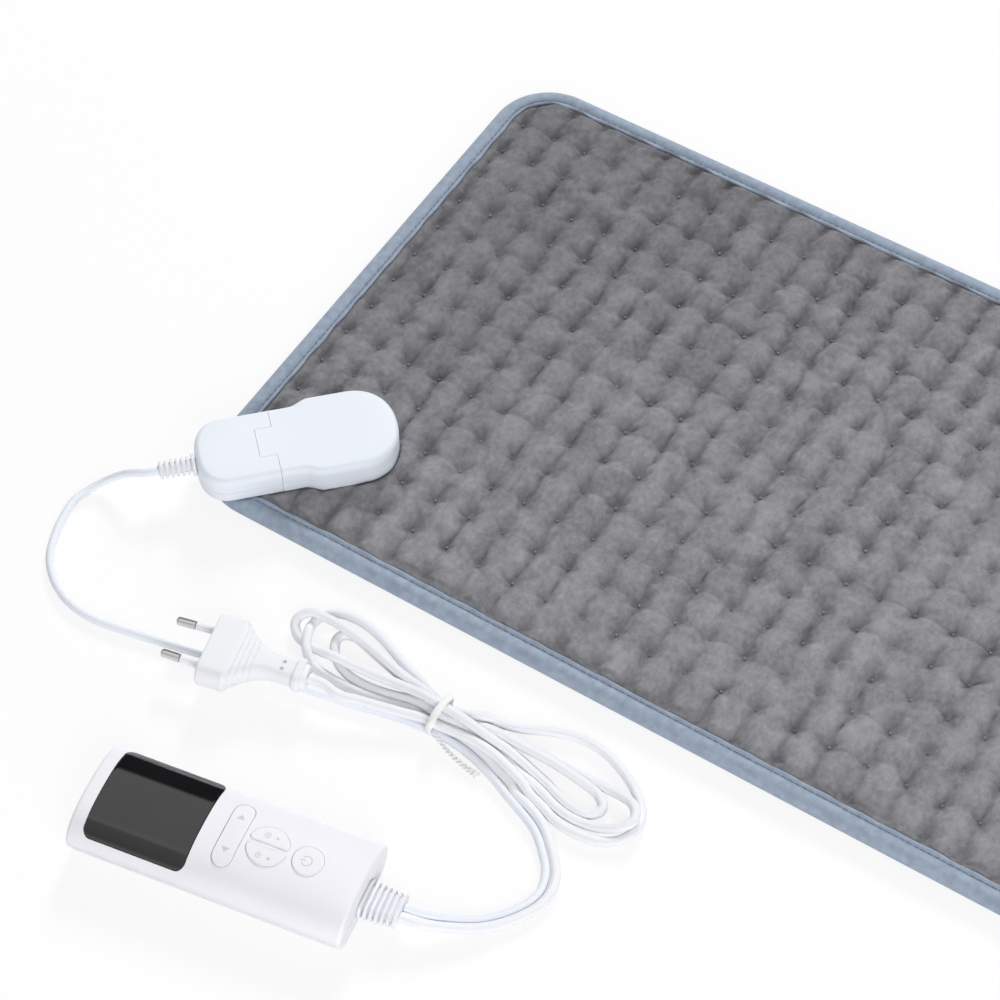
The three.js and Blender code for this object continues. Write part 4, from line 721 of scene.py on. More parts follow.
edge_places, edge_normals = outline_path(1.6)
edge_gaps = np.linalg.norm(np.roll(edge_places, -1, 0) - edge_places, axis=1)
edge_along = np.r_[0, np.cumsum(edge_gaps)[:-1]]
profile = rounded_line(BINDING_PROFILE, 2)
inset, level = profile[None, :, 0], profile[None, :, 1]
run = edge_along[:, None]
upper = eased((level - 5.5) / 1.2)
lip = eased((inset - 8.2) / 1.4) * upper
roll = np.exp(-((inset - 5.0) / 2.6) ** 2) * upper
groove = np.exp(-((inset - GROOVE_INSET) / 0.7) ** 2) * upper
bx, by = edge_places[:, :1], edge_places[:, 1:]
beat = (np.abs(edge_normals[:, 1:]) * np.cos(2 * math.pi * bx / COLUMN_PITCH)
        + np.abs(edge_normals[:, :1]) * np.cos(2 * math.pi * by / ROW_PITCH))
wave = drift(bx, by, 12.5, 31) + 0.5 * drift(bx, by, 5.5, 32) - beat
inset_waved = (inset + lip * (0.33 + 0.25 * edge_normals[:, 1:]) * wave
               + roll * 0.25 * drift(bx, by, 17, 33))
level_waved = (level + lip * 0.2 * wave
               + roll * (0.22 * drift(bx, by, 8, 34) + 0.1 * drift(bx, by, 3.4, 35))
               - groove * 0.14 * np.cos(2 * math.pi * run / STITCH_PITCH))
binding_x = bx - edge_normals[:, :1] * inset_waved
binding_y = by - edge_normals[:, 1:] * inset_waved
press = housing_press(binding_x, binding_y, 1.5)
pressed = level_waved * (1 - press) + LIP_UNDER_HOUSING * press
level_waved = np.where(level_waved > LIP_UNDER_HOUSING, pressed, level_waved)
binding_grid = np.stack([binding_x, binding_y, level_waved], axis=-1)
piece("edge_binding_twill", skin(binding_grid, ring=True, loop=True), "pad", twill,
      ["edge_binding"], sharp=80)

stitch_count = int(edge_along[-1] / STITCH_PITCH)
stitch_at = (np.arange(stitch_count) + 0.5) * STITCH_PITCH
stitch_x = np.interp(stitch_at, edge_along, edge_places[:, 0] - edge_normals[:, 0] * GROOVE_INSET)
stitch_y = np.interp(stitch_at, edge_along, edge_places[:, 1] - edge_normals[:, 1] * GROOVE_INSET)
tangent_x = np.interp(stitch_at, edge_along, -edge_normals[:, 1])
tangent_y = np.interp(stitch_at, edge_along, edge_normals[:, 0])
clear = housing_press(stitch_x, stitch_y, 1.0) < 0.5
stitch_places = np.stack([stitch_x, stitch_y, np.full(stitch_count, SEAM_LEVEL)], axis=-1)[clear]
stitch_turns = np.arctan2(tangent_y, tangent_x)[clear]
seam = repeated(bead(*STITCH_SIZE), stitch_places, stitch_turns)
piece("binding_stitches", seam, "pad", seam_thread)
print("binding length", round(edge_along[-1]), "mm, stitches", len(stitch_places))

# %% [markdown]
# The back is a thin brushed cloth, drawn up a little at each tuft. It only shows
# when the pad is turned over, so a coarser grid is enough.

# %% Back cover
back_x, back_y = cover_grid(200, 96, LIP_INSET - 1.0)
back_pull = np.exp(-(np.hypot(
    back_x - np.round(back_x / COLUMN_PITCH) * COLUMN_PITCH,
    back_y - np.round(back_y / ROW_PITCH) * ROW_PITCH) / 3.2) ** 1.6)
back_level = 0.15 + 0.75 * back_pull + 0.12 * drift(back_x, back_y, 14, 41)
back_skin = slab(back_x, back_y, np.clip(back_level, 0.05, 1.2), 2.0)
piece("back_cloth", back_skin, "pad", back_plush, ["pad_back_cover"], sharp=80)

# %% [markdown]
# The connector's two halves are shallow housings with straight walls and rounded
# shoulders. Each is drawn as rings of its outline that shrink over the shoulder,
# and its hollow, the window for the contacts and the cord's hole are cut out.

# %% Connector outlines and housings
NOSE_START, NOSE_LENGTH, NOSE_POWER = 7.6, 14, 2.4
WAIST_START, WAIST_LENGTH = 53.6, 9.4
CAP_END, CAP_HALF = 100.8, 22.3
JOINT_LINE = 44.0
SOCKET_START = 44.15
HOUSING_BOTTOM, SPLIT_LEVEL, HOUSING_TOP = 7.5, 12.7, 21.7
SHOULDER, SHOULDER_INSET = 4.0, 3.0


def swelling(share, power):
    """Width share of a cap at a share of its length: (1 - (1-s)^p)^(1/p)."""
    return (1 - (1 - np.clip(share, 0, 1)) ** power) ** (1 / power)


def mirrored_ring(upper):
    """A closed outline from its +Y side, which starts on the axis."""
    lower = upper[:0:-1] * np.array([1, -1])
    return np.concatenate([upper, lower])


def cord_half_outline(grow, end=JOINT_LINE):
    """The cord half: a rounded nose, then straight sides up to the joint."""
    share = np.linspace(0, 1, 26) ** 1.9
    x = NOSE_START - grow + share * (NOSE_LENGTH + grow)
    half = (HALF_WIDTH + grow) * swelling(share, NOSE_POWER)
    sides = np.linspace(x[-1], end, 10)[1:]
    half = np.r_[half, np.full(len(sides), HALF_WIDTH + grow)]
    upper = np.stack([np.r_[x, sides], half], axis=-1)
    back = np.stack([np.full(6, end), np.linspace(HALF_WIDTH + grow, 0, 7)[1:]], axis=-1)
    return mirrored_ring(np.concatenate([upper, back[:-1]]))


def socket_outline(grow, start=SOCKET_START):
    """The pad's half: straight, a step out at the waist, then a rounded end."""
    front = np.stack([np.full(6, start), np.linspace(0, HALF_WIDTH + grow, 7)[:-1]], axis=-1)
    x = np.r_[np.linspace(start, 52.5, 6), np.linspace(53.5, 64, 18), np.linspace(66, 79, 6)]
    half = HALF_WIDTH + grow + WAIST_STEP * eased((x - WAIST_START) / WAIST_LENGTH)
    share = np.linspace(1, 0, 26) ** 1.9
    cap_x = CAP_END + grow - share * (CAP_LENGTH + grow)
    cap_half = (CAP_HALF + grow) * swelling(share, CAP_POWER)
    body = np.stack([np.r_[x, cap_x], np.r_[half, cap_half]], axis=-1)
    return mirrored_ring(np.concatenate([front, body]))


def raised(outline, level):
    """A ring of plan points at one height."""
    return np.column_stack([outline, np.full(len(outline), level)])


def prism(outline, bottom, top):
    """A closed prism of a plan outline."""
    return skin(np.stack([raised(outline, bottom), raised(outline, top)]), ring=True, caps=True)


def block(low, high):
    """A closed box between two corners."""
    (x0, y0, z0), (x1, y1, z1) = low, high
    return prism(np.array([[x0, y0], [x1, y0], [x1, y1], [x0, y1]], float), z0, z1)


def upper_housing(outline):
    """Rings from the split up the wall, over the shoulder (a quarter ellipse) to the top."""
    rings = [raised(outline(-0.15), SPLIT_LEVEL + 0.3), raised(outline(0), SPLIT_LEVEL + 0.45)]
    for angle in np.linspace(0, math.pi / 2, 12):
        inset = SHOULDER_INSET * (1 - math.cos(angle))
        rings.append(raised(outline(-inset), HOUSING_TOP - SHOULDER * (1 - math.sin(angle))))
    middle = rings[-1].mean(axis=0)
    rings += [middle + share * (rings[-1] - middle) for share in (0.8, 0.6, 0.4, 0.2, 0.05)]
    return skin(np.stack(rings), ring=True, caps=True)


def lower_housing(outline):
    """Rings from a small round at the bottom up the straight wall to the split."""
    rings = [raised(outline(-0.7 * (1 - math.sin(a))), HOUSING_BOTTOM + 0.7 * (1 - math.cos(a)))
             for a in np.linspace(0, math.pi / 2, 5)]
    rings += [raised(outline(0), SPLIT_LEVEL - 0.15), raised(outline(-0.15), SPLIT_LEVEL)]
    return skin(np.stack(rings), ring=True, caps=True)


def revolved(profile, sides=28, centre=(0.0, 0.0)):
    """A closed solid of revolution about X from (x, radius) points."""
    profile = np.array(profile, float)
    angle = whole_turn(sides)
    x = profile[:, :1] + 0 * angle
    y = profile[:, 1:] * np.cos(angle) + centre[0]
    z = profile[:, 1:] * np.sin(angle) + centre[1]
    return skin(np.stack([x, y, z], axis=-1), ring=True, caps=True)


# %% Connector's halves
RELIEF_LEVEL = 14.5
TONGUE_START, TONGUE_HALF = 36.3, 8.0
ROOM_LEVELS = (9.5, 19.7)
BLOCK_HALF, BLOCK_LEVELS = 13.3, (11.7, 19.05)


def connector_bore(start, end, radius):
    """A round cutter on the cord's axis."""
    return revolved([(start, radius), (end, radius)], 28, (0, RELIEF_LEVEL))


def block_room(start, end):
    """The room of a contact block between two places along the connector."""
    return block((start, -BLOCK_HALF, BLOCK_LEVELS[0]), (end, BLOCK_HALF, BLOCK_LEVELS[1]))


tongue_room = block((TONGUE_START - 0.15, -8.15, 19.0), (45, 8.15, 23))
cord_half_cuts = [prism(cord_half_outline(-2, 34.5), *ROOM_LEVELS), block_room(33.7, 45),
                  connector_bore(-2, 20, 3.2), connector_bore(9.6, 14, 4.6)]
socket_cuts = [prism(socket_outline(-2, 46.3), *ROOM_LEVELS), block_room(43, 54.6)]
tongue_plan = np.array([[TONGUE_START, -TONGUE_HALF], [TONGUE_START, TONGUE_HALF],
                        [46, TONGUE_HALF], [46, -TONGUE_HALF]])
tongue = prism(tongue_plan, 19.3, HOUSING_TOP)
HOUSINGS = [
    ("connector_top_shell", upper_housing, cord_half_outline, "cordset",
     cord_half_cuts + [tongue_room], []),
    ("connector_bottom_shell", lower_housing, cord_half_outline, "cordset", cord_half_cuts, []),
    ("socket_top_shell", upper_housing, socket_outline, "pad", socket_cuts, [tongue]),
    ("socket_base_shell", lower_housing, socket_outline, "pad", socket_cuts, []),
]
for node, housing, outline, body, cuts, joins in HOUSINGS:
    shell = piece(node + "_abs", moved(housing(outline), CONNECTOR), body, connector_abs,
        [node])
    carved(shell, [moved(some, CONNECTOR) for some in cuts],
           [moved(some, CONNECTOR) for some in joins])
    print(node, "faces", len(shell.data.polygons))

# %% [markdown]
# Strain reliefs are moulded in soft PVC: a core on the cord with thin ribs across
# it and a collar that the housing holds. The connector's is round, the
# controller's is wide and flat because both cords leave through it.

# %% Strain reliefs
RIB_PITCH, RIB_THICK, RIB_EDGE = 2.5, 1.3, 0.25


def rib_rows(x, core, rib):
    """One rib with eased edges from x on: places along X with their size across it."""
    end = x + RIB_THICK
    return [(x, core), (x, rib - RIB_EDGE), (x + RIB_EDGE, rib), (end - RIB_EDGE, rib),
            (end, rib - RIB_EDGE), (end, core)]


profile = [(-9.6, 2.3)]
for k in range(6):
    profile += rib_rows(-9.0 + k * RIB_PITCH, 2.9, 4.3)
profile += [(5.7, 2.9), (5.7, 4.9), (6.0, 5.2), (7.0, 5.2), (7.3, 4.9), (7.3, 2.9), (9.9, 2.9),
    (9.9, 4.3), (11.2, 4.3), (11.2, 2.9), (11.4, 2.2)]
piece("connector_strain_relief_pvc", moved(revolved(profile, 28, (0, RELIEF_LEVEL)), CONNECTOR),
      "cordset", relief_pvc, ["connector_strain_relief"], sharp=30)


def rounded_section(half_y, half_z, radius, steps=6):
    """A rounded rectangle across X: four quarter circles joined by straights."""
    points = []
    for corner in range(4):
        centre = CORNER_SIGNS[corner] * (half_y - radius, half_z - radius)
        for angle in (corner + np.linspace(0, 1, steps)) * math.pi / 2:
            points.append(centre + radius * np.array([math.cos(angle), math.sin(angle)]))
    return np.array(points)


def ring_at(x, section):
    """A section across X as a ring of points at x."""
    return np.column_stack([np.full(len(section), x), section])


def sectioned(rows, radius_share=0.9, level=0.0, steps=6):
    """A closed loft along X through rounded rectangles given as (x, half_y, half_z)."""
    rings = []
    for x, half_y, half_z in rows:
        section = rounded_section(half_y, half_z, radius_share * min(half_y, half_z), steps)
        rings.append(ring_at(x, section + [0.0, level]))
    return skin(np.stack(rings), ring=True, caps=True)


FLAT_RELIEF_LEVEL = 8.2
core, rib = np.array([6.2, 2.7]), np.array([9.0, 4.3])
flat_rows = [(58.5, 10.0, 5.0), (60.0, 10.0, 5.0), (60.0, 8.5, 3.7), (62.8, 8.5, 3.7)]
for k in range(7):
    shrunk = rib * (1 - 0.02 * k)
    flat_rows += [(x, *size) for x, size in rib_rows(62.8 + RIB_PITCH * k, core, shrunk)]
flat_rows.append((79.4, 5.6, 2.2))
flat_relief = sectioned(flat_rows, 0.92, FLAT_RELIEF_LEVEL)
piece("controller_strain_relief_pvc", moved(flat_relief, HANDSET), "cordset", relief_pvc,
      ["handset_strain_relief"], sharp=30)

# %% [markdown]
# The controller's housing is an arch over a flat tray. Its section is carried
# along its length with rounded ends; the window, the keys' holes and the cords'
# opening are cut through it. Every key is a separate cap that stands in its hole
# and follows the arch, a little proud of it.

# %% Controller's arch
HANDSET_HALF, HANDSET_WIDTH, SIDE_LEVEL, ARCH_RISE = 62.5, 25.0, 9.5, 12.5
ARCH_POWER = 2.4
TRAY_FLAT = 18.0
SPLIT, WALL, END_ROUND = 9.4, 2.2, 1.7


def arch(y, inset=0.0):
    """Height of the arch at y: side + rise * (1 - (y/half)^2.4)^(1/2)."""
    share = np.clip(np.abs(y) / (HANDSET_WIDTH - inset), 0, 1)
    return SIDE_LEVEL + (ARCH_RISE - inset) * np.sqrt(1 - share ** ARCH_POWER)


def arch_section(inset, steps=44):
    """The upper shell's section at one place along X, closed along the split."""
    angle = np.linspace(0, math.pi, steps)
    c = np.cos(angle)
    half = HANDSET_WIDTH - inset
    y = half * np.sign(c) * np.abs(c) ** (2 / ARCH_POWER)
    z = SIDE_LEVEL + (ARCH_RISE - inset) * np.sin(angle)
    return np.concatenate([[[half, SPLIT]], np.stack([y, z], -1), [[-half, SPLIT]]])


def tray_section(inset, top=SPLIT - 0.3, steps=12):
    """The tray's section: flat underneath, a quarter-ellipse corner, open edge at the split."""
    angle = np.linspace(0, math.acos((SIDE_LEVEL - top) / (SIDE_LEVEL - inset)), steps)
    flat = TRAY_FLAT - inset
    y = flat + (HANDSET_WIDTH - inset - flat) * np.sin(angle)
    z = SIDE_LEVEL - (SIDE_LEVEL - inset) * np.cos(angle)
    right = np.stack([y, z], -1)
    return np.concatenate([right, right[::-1] * np.array([-1, 1])])


def along_controller(section, inset, end_round):
    """A section carried along X with rounded ends: inset r(1-cos a) at x = end - r + r sin a."""
    reach = HANDSET_HALF - inset
    rows = [(reach - end_round * (1 - math.sin(a)), end_round * (1 - math.cos(a)))
            for a in np.linspace(0, math.pi / 2, 7)[::-1]]
    rings = [(-x, extra) for x, extra in rows] + [(x, extra) for x, extra in rows[::-1]]
    grid = [ring_at(x, section(inset + extra)) for x, extra in rings]
    return skin(np.stack(grid), ring=True, caps=True)


def height_at(level, y):
    """A level that is a number, or a function of y."""
    return level(y) if callable(level) else np.full(len(y), float(level))


def circle(radius, count):
    """A circle of points round the origin."""
    angle = whole_turn(count)
    return radius * np.stack([np.cos(angle), np.sin(angle)], -1)


def pillow(outline, lower, upper, rim=0.0, steps=12):
    """A solid over a plan outline between two heights, which may be functions of y;
    the upper edge is rounded by rim."""
    centre = outline.mean(axis=0)
    reach = outline - centre
    size = np.linalg.norm(reach, axis=1, keepdims=True)
    rings = []
    for share in np.linspace(0.08, 1, steps):
        plan = centre + share * reach
        rings.append(np.column_stack([plan, height_at(lower, plan[:, 1])]))
    if rim:
        for angle in np.linspace(0, math.pi / 2, 6)[:-1]:
            plan = centre + reach * (1 - rim * (1 - math.cos(angle)) / size)
            upper_edge = height_at(upper, plan[:, 1]) - rim * (1 - math.sin(angle))
            rings.append(np.column_stack([plan, upper_edge]))
    for share in np.linspace(1, 0.08, steps):
        plan = centre + share * reach * (1 - rim / size)
        rings.append(np.column_stack([plan, height_at(upper, plan[:, 1])]))
    return skin(np.stack(rings), ring=True, caps=True)


# %% Outlines of the window and the keys
LENS_X, LENS_HALF, LENS_RADIUS = -32.5, (23.0, 22.0), 3.5
ROCKER_X, MOON_X, POWER_X = 4.0, 19.7, 37.8
ROCKER_RADIUS, ROCKER_REACH = 4.5, 10.8
MOON_RADIUS, MOON_CHORD, MOON_CORNER = 9.2, 0.95, 1.3
POWER_RADIUS = 6.8


def lens_outline(grow):
    """The window's rounded rectangle, with enough points to follow the arch."""
    radius = LENS_RADIUS + max(grow, -2.5)
    outline = rounded_section(LENS_HALF[0] + grow, LENS_HALF[1] + grow, radius, 9)
    outline = rounded_edges(outline, 1.6)
    return outline + np.array([LENS_X, 0.0])


def rounded_edges(outline, step):
    """The same outline with points no further apart than step along its straights."""
    points = []
    for here, there in zip(outline, np.roll(outline, -1, 0)):
        count = max(1, int(np.linalg.norm(there - here) / step))
        points += [here + (there - here) * k / count for k in range(count)]
    return np.array(points)


def pill_outline(grow):
    """The rocker: two half circles 21.6 mm apart along Y."""
    angle = np.linspace(0, math.pi, 20)
    radius = ROCKER_RADIUS + grow
    top = np.stack([radius * np.cos(angle), ROCKER_REACH + radius * np.sin(angle)], -1)
    return rounded_edges(np.concatenate([top, -top]), 1.5) + np.array([ROCKER_X, 0.0])


def moon_outline(side, grow):
    """A half disc with rounded corners: arc, corner circle, chord, corner circle."""
    radius, chord = MOON_RADIUS + grow, MOON_CHORD - min(grow, 0.35)
    small = MOON_CORNER + grow
    turn_in = math.asin((chord + small) / (radius - small))
    x = (radius - small) * math.cos(turn_in)
    right = np.linspace(-math.pi / 2, turn_in, 7)
    arc = np.linspace(turn_in, math.pi - turn_in, 30)[1:-1]
    left = np.linspace(math.pi - turn_in, 1.5 * math.pi, 7)
    points = np.concatenate([
        np.stack([x + small * np.cos(right), chord + small + small * np.sin(right)], -1),
        np.stack([radius * np.cos(arc), radius * np.sin(arc)], -1),
        np.stack([-x + small * np.cos(left), chord + small + small * np.sin(left)], -1)])
    return rounded_edges(points, 1.3) * np.array([1, side]) + np.array([MOON_X, 0.0])


def disc_outline(grow):
    """The power key's circle."""
    return circle(POWER_RADIUS + grow, 48) + np.array([POWER_X, 0.0])


KEYS = [
    ("level_rocker", "rocker", pill_outline),
    ("heat_button", "heat_key", lambda grow: moon_outline(1, grow)),
    ("timer_button", "timer_key", lambda grow: moon_outline(-1, grow)),
    ("power_button", "power_key", disc_outline),
]

# %% Controller's shells
ABOVE_ALL = 24.0
KEY_GAP, ROCKER_GAP = 0.11, 0.22
SCREW_PLACES = [(HANDSET_HALF - margin, side * 17.0) for margin in (66.5, 7.5)
                for side in (-1, 1)]


def upright(radius, bottom, top, place):
    """A closed vertical cylinder."""
    return prism(circle(radius, 24) + np.array(place), bottom, top)


relief_cuts = [sectioned([(57, 8.8, 4.0), (70, 8.8, 4.0)], 0.9, FLAT_RELIEF_LEVEL),
               sectioned([(58, 10.3, 5.3), (60.3, 10.3, 5.3)], 0.9, FLAT_RELIEF_LEVEL)]
top_cuts = [
    along_controller(lambda inset: np.maximum(arch_section(inset, 30), [-99, 9.3]), WALL, 1.0),
    pillow(lens_outline(0.3), lambda y: arch(y, 1.5), ABOVE_ALL),
    prism(lens_outline(-3.0), 12.0, ABOVE_ALL),
]
for _, body, outline in KEYS:
    gap = ROCKER_GAP if body == "rocker" else KEY_GAP
    top_cuts.append(prism(outline(gap), 11.5, ABOVE_ALL))
tray_cuts = [along_controller(lambda inset: tray_section(inset, 9.25), WALL, 1.0)]
tray_cuts += [upright(2.9, -1, 2.2 - 1.0, place) for place in SCREW_PLACES]
for half, section, cuts in (("top", arch_section, top_cuts), ("bottom", tray_section, tray_cuts)):
    housing = moved(along_controller(section, 0.0, END_ROUND), HANDSET)
    shell = piece("controller_" + half + "_shell_abs", housing, "cordset", handset_abs,
                  ["handset_" + half + "_shell"])
    carved(shell, [moved(some, HANDSET) for some in cuts + relief_cuts])
    print("controller", half, "faces", len(shell.data.polygons))

# %% Window and keys
KEY_BASE, KEY_PROUD, KEY_RIM = 14.9, 0.55, 0.7
FLANGE_GROWN, FLANGE_TOP = 0.8, 18.5
lens = pillow(lens_outline(0.0), lambda y: arch(y, 1.2), arch, 0.35, 22)
piece("display_lens_acrylic", moved(lens, HANDSET), "cordset", lens_glass,
      ["display_window"], sharp=50)
for node, body, outline in KEYS:
    under = 3.6 if body == "rocker" else 2.6
    cap = pillow(outline(0.0), KEY_BASE, lambda y: arch(y) + KEY_PROUD, KEY_RIM, 10)
    flange = pillow(outline(FLANGE_GROWN), KEY_BASE,
                    lambda y: np.minimum(arch(y, under), FLANGE_TOP), 0.0, 6)
    piece(node + "_silicone", moved(joined(cap, flange), HANDSET), body, key_rubber,
          [node], sharp=50)

# %% [markdown]
# The marks on the keys are plain printed signs: two arrow heads, two rings with a
# dot, a small arrow, a dot, and an open ring with a stroke. Each is a film a few
# hundredths of a millimetre thick that follows the surface below it.

# %% Printed marks
mark_ink, tree, shader, where = new_material("mark_ink_pad_printed_grey", Roughness=0.6)
tinted(tree, shader, noise(tree, where, 2500.0), "c9cbd0", "d4d5da")
PROUD, FILM_UNDER, FILM_OVER = 0.56, 0.02, 0.03


def printed(outline):
    """A thin film over an outline that follows the arch just above the keys."""
    return pillow(rounded_edges(np.array(outline, float), 0.6),
        lambda y: arch(y) + PROUD - FILM_UNDER, lambda y: arch(y) + PROUD + FILM_OVER, 0.0, 4)


def ring_film(x, y, inner, outer, start, end):
    """A printed part of a ring between two radii and two angles in degrees."""
    angle = np.radians(np.linspace(start, end, 14))
    edges = [np.stack([x + radius * np.cos(angle), y + radius * np.sin(angle)], -1)
             for radius in (outer, inner)]
    low = [np.column_stack([edge, arch(edge[:, 1]) + PROUD - FILM_UNDER]) for edge in edges]
    high = [np.column_stack([edge, arch(edge[:, 1]) + PROUD + FILM_OVER]) for edge in edges]
    return skin(np.stack([low[0], high[0], high[1], low[1]], axis=1), ring=True, caps=True)


def ring_with_dot(x, y):
    """A ring and a dot in its middle."""
    return joined(ring_film(x, y, 1.0, 1.35, 0, 340), ring_film(x, y, 0.05, 0.45, 0, 355))


stroke_left, stroke_right = POWER_X - 3.0, POWER_X - 0.8
MARKS = {
    "rocker": [printed([(ROCKER_X - 1.8, side * 7.0), (ROCKER_X + 1.8, side * 7.0),
                        (ROCKER_X, side * 9.4)]) for side in (1, -1)],
    "heat_key": [ring_with_dot(17.8, 4.5), printed([(21.6, 3.8), (23.2, 4.5), (21.6, 5.2)])],
    "timer_key": [ring_with_dot(17.8, -5.4), ring_film(22.4, -5.4, 0.05, 0.75, 0, 355)],
    "power_key": [ring_film(POWER_X - 0.3, -0.4, 2.0, 2.45, 210, 510),
                  printed([(stroke_left, -0.65), (stroke_right, -0.65), (stroke_right, -0.2),
                           (stroke_left, -0.2)])],
}
for body, films in MARKS.items():
    piece("marks_" + body, moved(joined(*films), HANDSET), body, mark_ink)

# %% [markdown]
# The plug is a flat moulding: full width for a short way behind its face, then
# drawn in to a neck with a finger flange. It is a loft of rounded rectangles, with
# shallow grip grooves where the drawing in begins. The pins are turned and
# plated, with sleeves moulded in one with the bridge that holds them.

# %% Mains plug
SHOULDER_AT, DRAWN_IN = 12, 21
NECK_HALF_WIDTH, WIDTH_LOSS = 6, 11.8
FULL_HALF_HEIGHT, HEIGHT_LOSS = 6.85, 2.35
GROOVES = (14.2, 16.6, 19.0, 21.4)
FLANGE_MIDDLE, FLANGE_REACH = 41.95, 1.85


def plug_half_width(x):
    """Half width: 17.8 to the shoulder, then 6 + 11.8 (1-s)^2.2 down to the neck."""
    share = np.clip((x - SHOULDER_AT) / DRAWN_IN, 0, 1)
    return NECK_HALF_WIDTH + WIDTH_LOSS * (1 - share) ** 2.2 - 0.6 * (1 - eased(x / 0.8))


def plug_half_height(x):
    """Half thickness: 6.85 to the shoulder, then straight down to 4.5."""
    share = np.clip((x - SHOULDER_AT) / DRAWN_IN, 0, 1)
    return FULL_HALF_HEIGHT - HEIGHT_LOSS * share - 0.5 * (1 - eased(x / 0.7))


stations = np.r_[0, 0.15, 0.35, 0.6, 1.0, np.linspace(2, 11, 6), np.linspace(11.6, 39.9, 96)]
grooves = sum(np.exp(-((stations - place) / 0.42) ** 2) for place in GROOVES)
plug_rows = [(x, float(plug_half_width(x) - 0.55 * g), float(plug_half_height(x) - 0.45 * g))
             for x, g in zip(stations, grooves)]
for t in np.linspace(-1, 1, 17):
    bulge = math.sqrt(1 - t ** 4)
    plug_rows.append((FLANGE_MIDDLE + FLANGE_REACH * t, 6.4 + 1.2 * bulge, 4.6 + 0.7 * bulge))
plug_rows += [(43.9, 5.6, 4.2), (45.4, 5.5, 4.1), (45.8, 5.3, 3.9), (46.0, 4.9, 3.5)]
plug_body = piece("mains_plug_body_pvc", moved(sectioned(plug_rows, 0.91, 0.0, 9), PLUG),
    "cordset", plug_pvc, ["mains_plug_body"])
bridge_room = block((-1, -13.3, -4.3), (13.3, 13.3, 4.3))
vents = [upright(0.9, 3.2, 9.0, (34.6, side * 1.75)) for side in (1, -1)]
carved(plug_body, [moved(some, PLUG) for some in [bridge_room, *vents]])


PIN_LENGTH, PIN_SIDE, PIN_RADIUS, PIN_ROUND = 19.0, 9.3, 2.0, 1.3


def leaned(some_skin, side):
    """Turns a pin about +Z so that its tip leans in, and moves it to its side."""
    lean = math.degrees(math.atan2(0.55, PIN_LENGTH))
    return moved(some_skin, {"origin": (0, side * PIN_SIDE, 0), "turn": side * lean})


nose = [(-PIN_LENGTH + PIN_ROUND * (1 - math.sin(a)), PIN_RADIUS - PIN_ROUND * (1 - math.cos(a)))
        for a in np.linspace(math.pi / 2, 0, 6)]
tip_profile = [(-PIN_LENGTH, 0.35)] + nose + [
    (-10.25, PIN_RADIUS), (-10.0, 1.75), (-10.0, 1.1), (10, 1.1)]
sleeve_profile = [(-9.7, 1.5), (-9.7, 1.75), (-9.5, 1.9), (0, 1.95), (5, 1.95)]
for side, node in ((-1, "plug_pin_1"), (1, "plug_pin_2")):
    pin = moved(leaned(revolved(tip_profile), side), PLUG)
    piece(node + "_nickel", pin, "cordset", nickel, [node])
bridge = joined(sectioned([(0.0, 12.7, 3.7), (0.3, 13, 4), (13, 13, 4)], 0.3),
    *[leaned(revolved(sleeve_profile), side) for side in (-1, 1)])
plug_bridge = piece("plug_bridge_sleeves_pvc", moved(bridge, PLUG), "cordset", plug_pvc,
    ["plug_bridge"])
print("plug faces", len(plug_body.data.polygons))

# %% [markdown]
# The hank is held by a paper tie with a wire in it: a flat band drawn round the
# cords, its ends twisted together into a short frayed tail.

# %% Paper tie
TIE_X, TIE_HALF = -132.2, (8.95, 6.2)
TIE_MIDDLE = (-193.05, 6.25)


def band_ring(grow):
    """The band round the cords: a squeezed superellipse, wavy with the cords below it."""
    angle = whole_turn(72)
    c, s = np.cos(angle), np.sin(angle)
    y = TIE_MIDDLE[0] + (TIE_HALF[0] + grow) * np.sign(c) * np.abs(c) ** 0.75
    z = TIE_MIDDLE[1] + (TIE_HALF[1] + grow) * np.sign(s) * np.abs(s) ** 0.75
    lean = 0.9 * np.sin(angle) + 0.25 * np.sin(3 * angle)
    return y, np.maximum(z, 0.06), lean


def band(width, thick):
    """A closed ring of the band's small flat section."""
    section = [(-0.5, 0), (-0.42, 0.5), (0, 0.75), (0.42, 0.5), (0.5, 0), (0, -0.1)]
    rings = []
    for across, out in section:
        y, z, lean = band_ring(thick * out)
        rings.append(np.column_stack([TIE_X + across * width + lean, y, z]))
    return skin(np.stack(rings, axis=1), ring=True, loop=True)


def twisted(route, width, turns, thick=0.5):
    """A flat ribbon along a route whose section turns about it."""
    route = np.array(route, float)
    t = np.linspace(0, 1, len(route))
    tangent = np.gradient(route, axis=0)
    tangent /= np.linalg.norm(tangent, axis=1)[:, None]
    side = np.cross(tangent, [0, 0, 1.0])
    side /= np.linalg.norm(side, axis=1)[:, None]
    up = np.cross(side, tangent)
    rings = []
    spin = 2 * math.pi * turns * t
    for angle in whole_turn(10):
        a, b = width / 2 * math.cos(angle), thick / 2 * math.sin(angle) * 1.6
        y, z = a * np.cos(spin) - b * np.sin(spin), a * np.sin(spin) + b * np.cos(spin)
        rings.append(route + side * y[:, None] + up * z[:, None])
    return skin(np.stack(rings, axis=1), ring=True, caps=True)


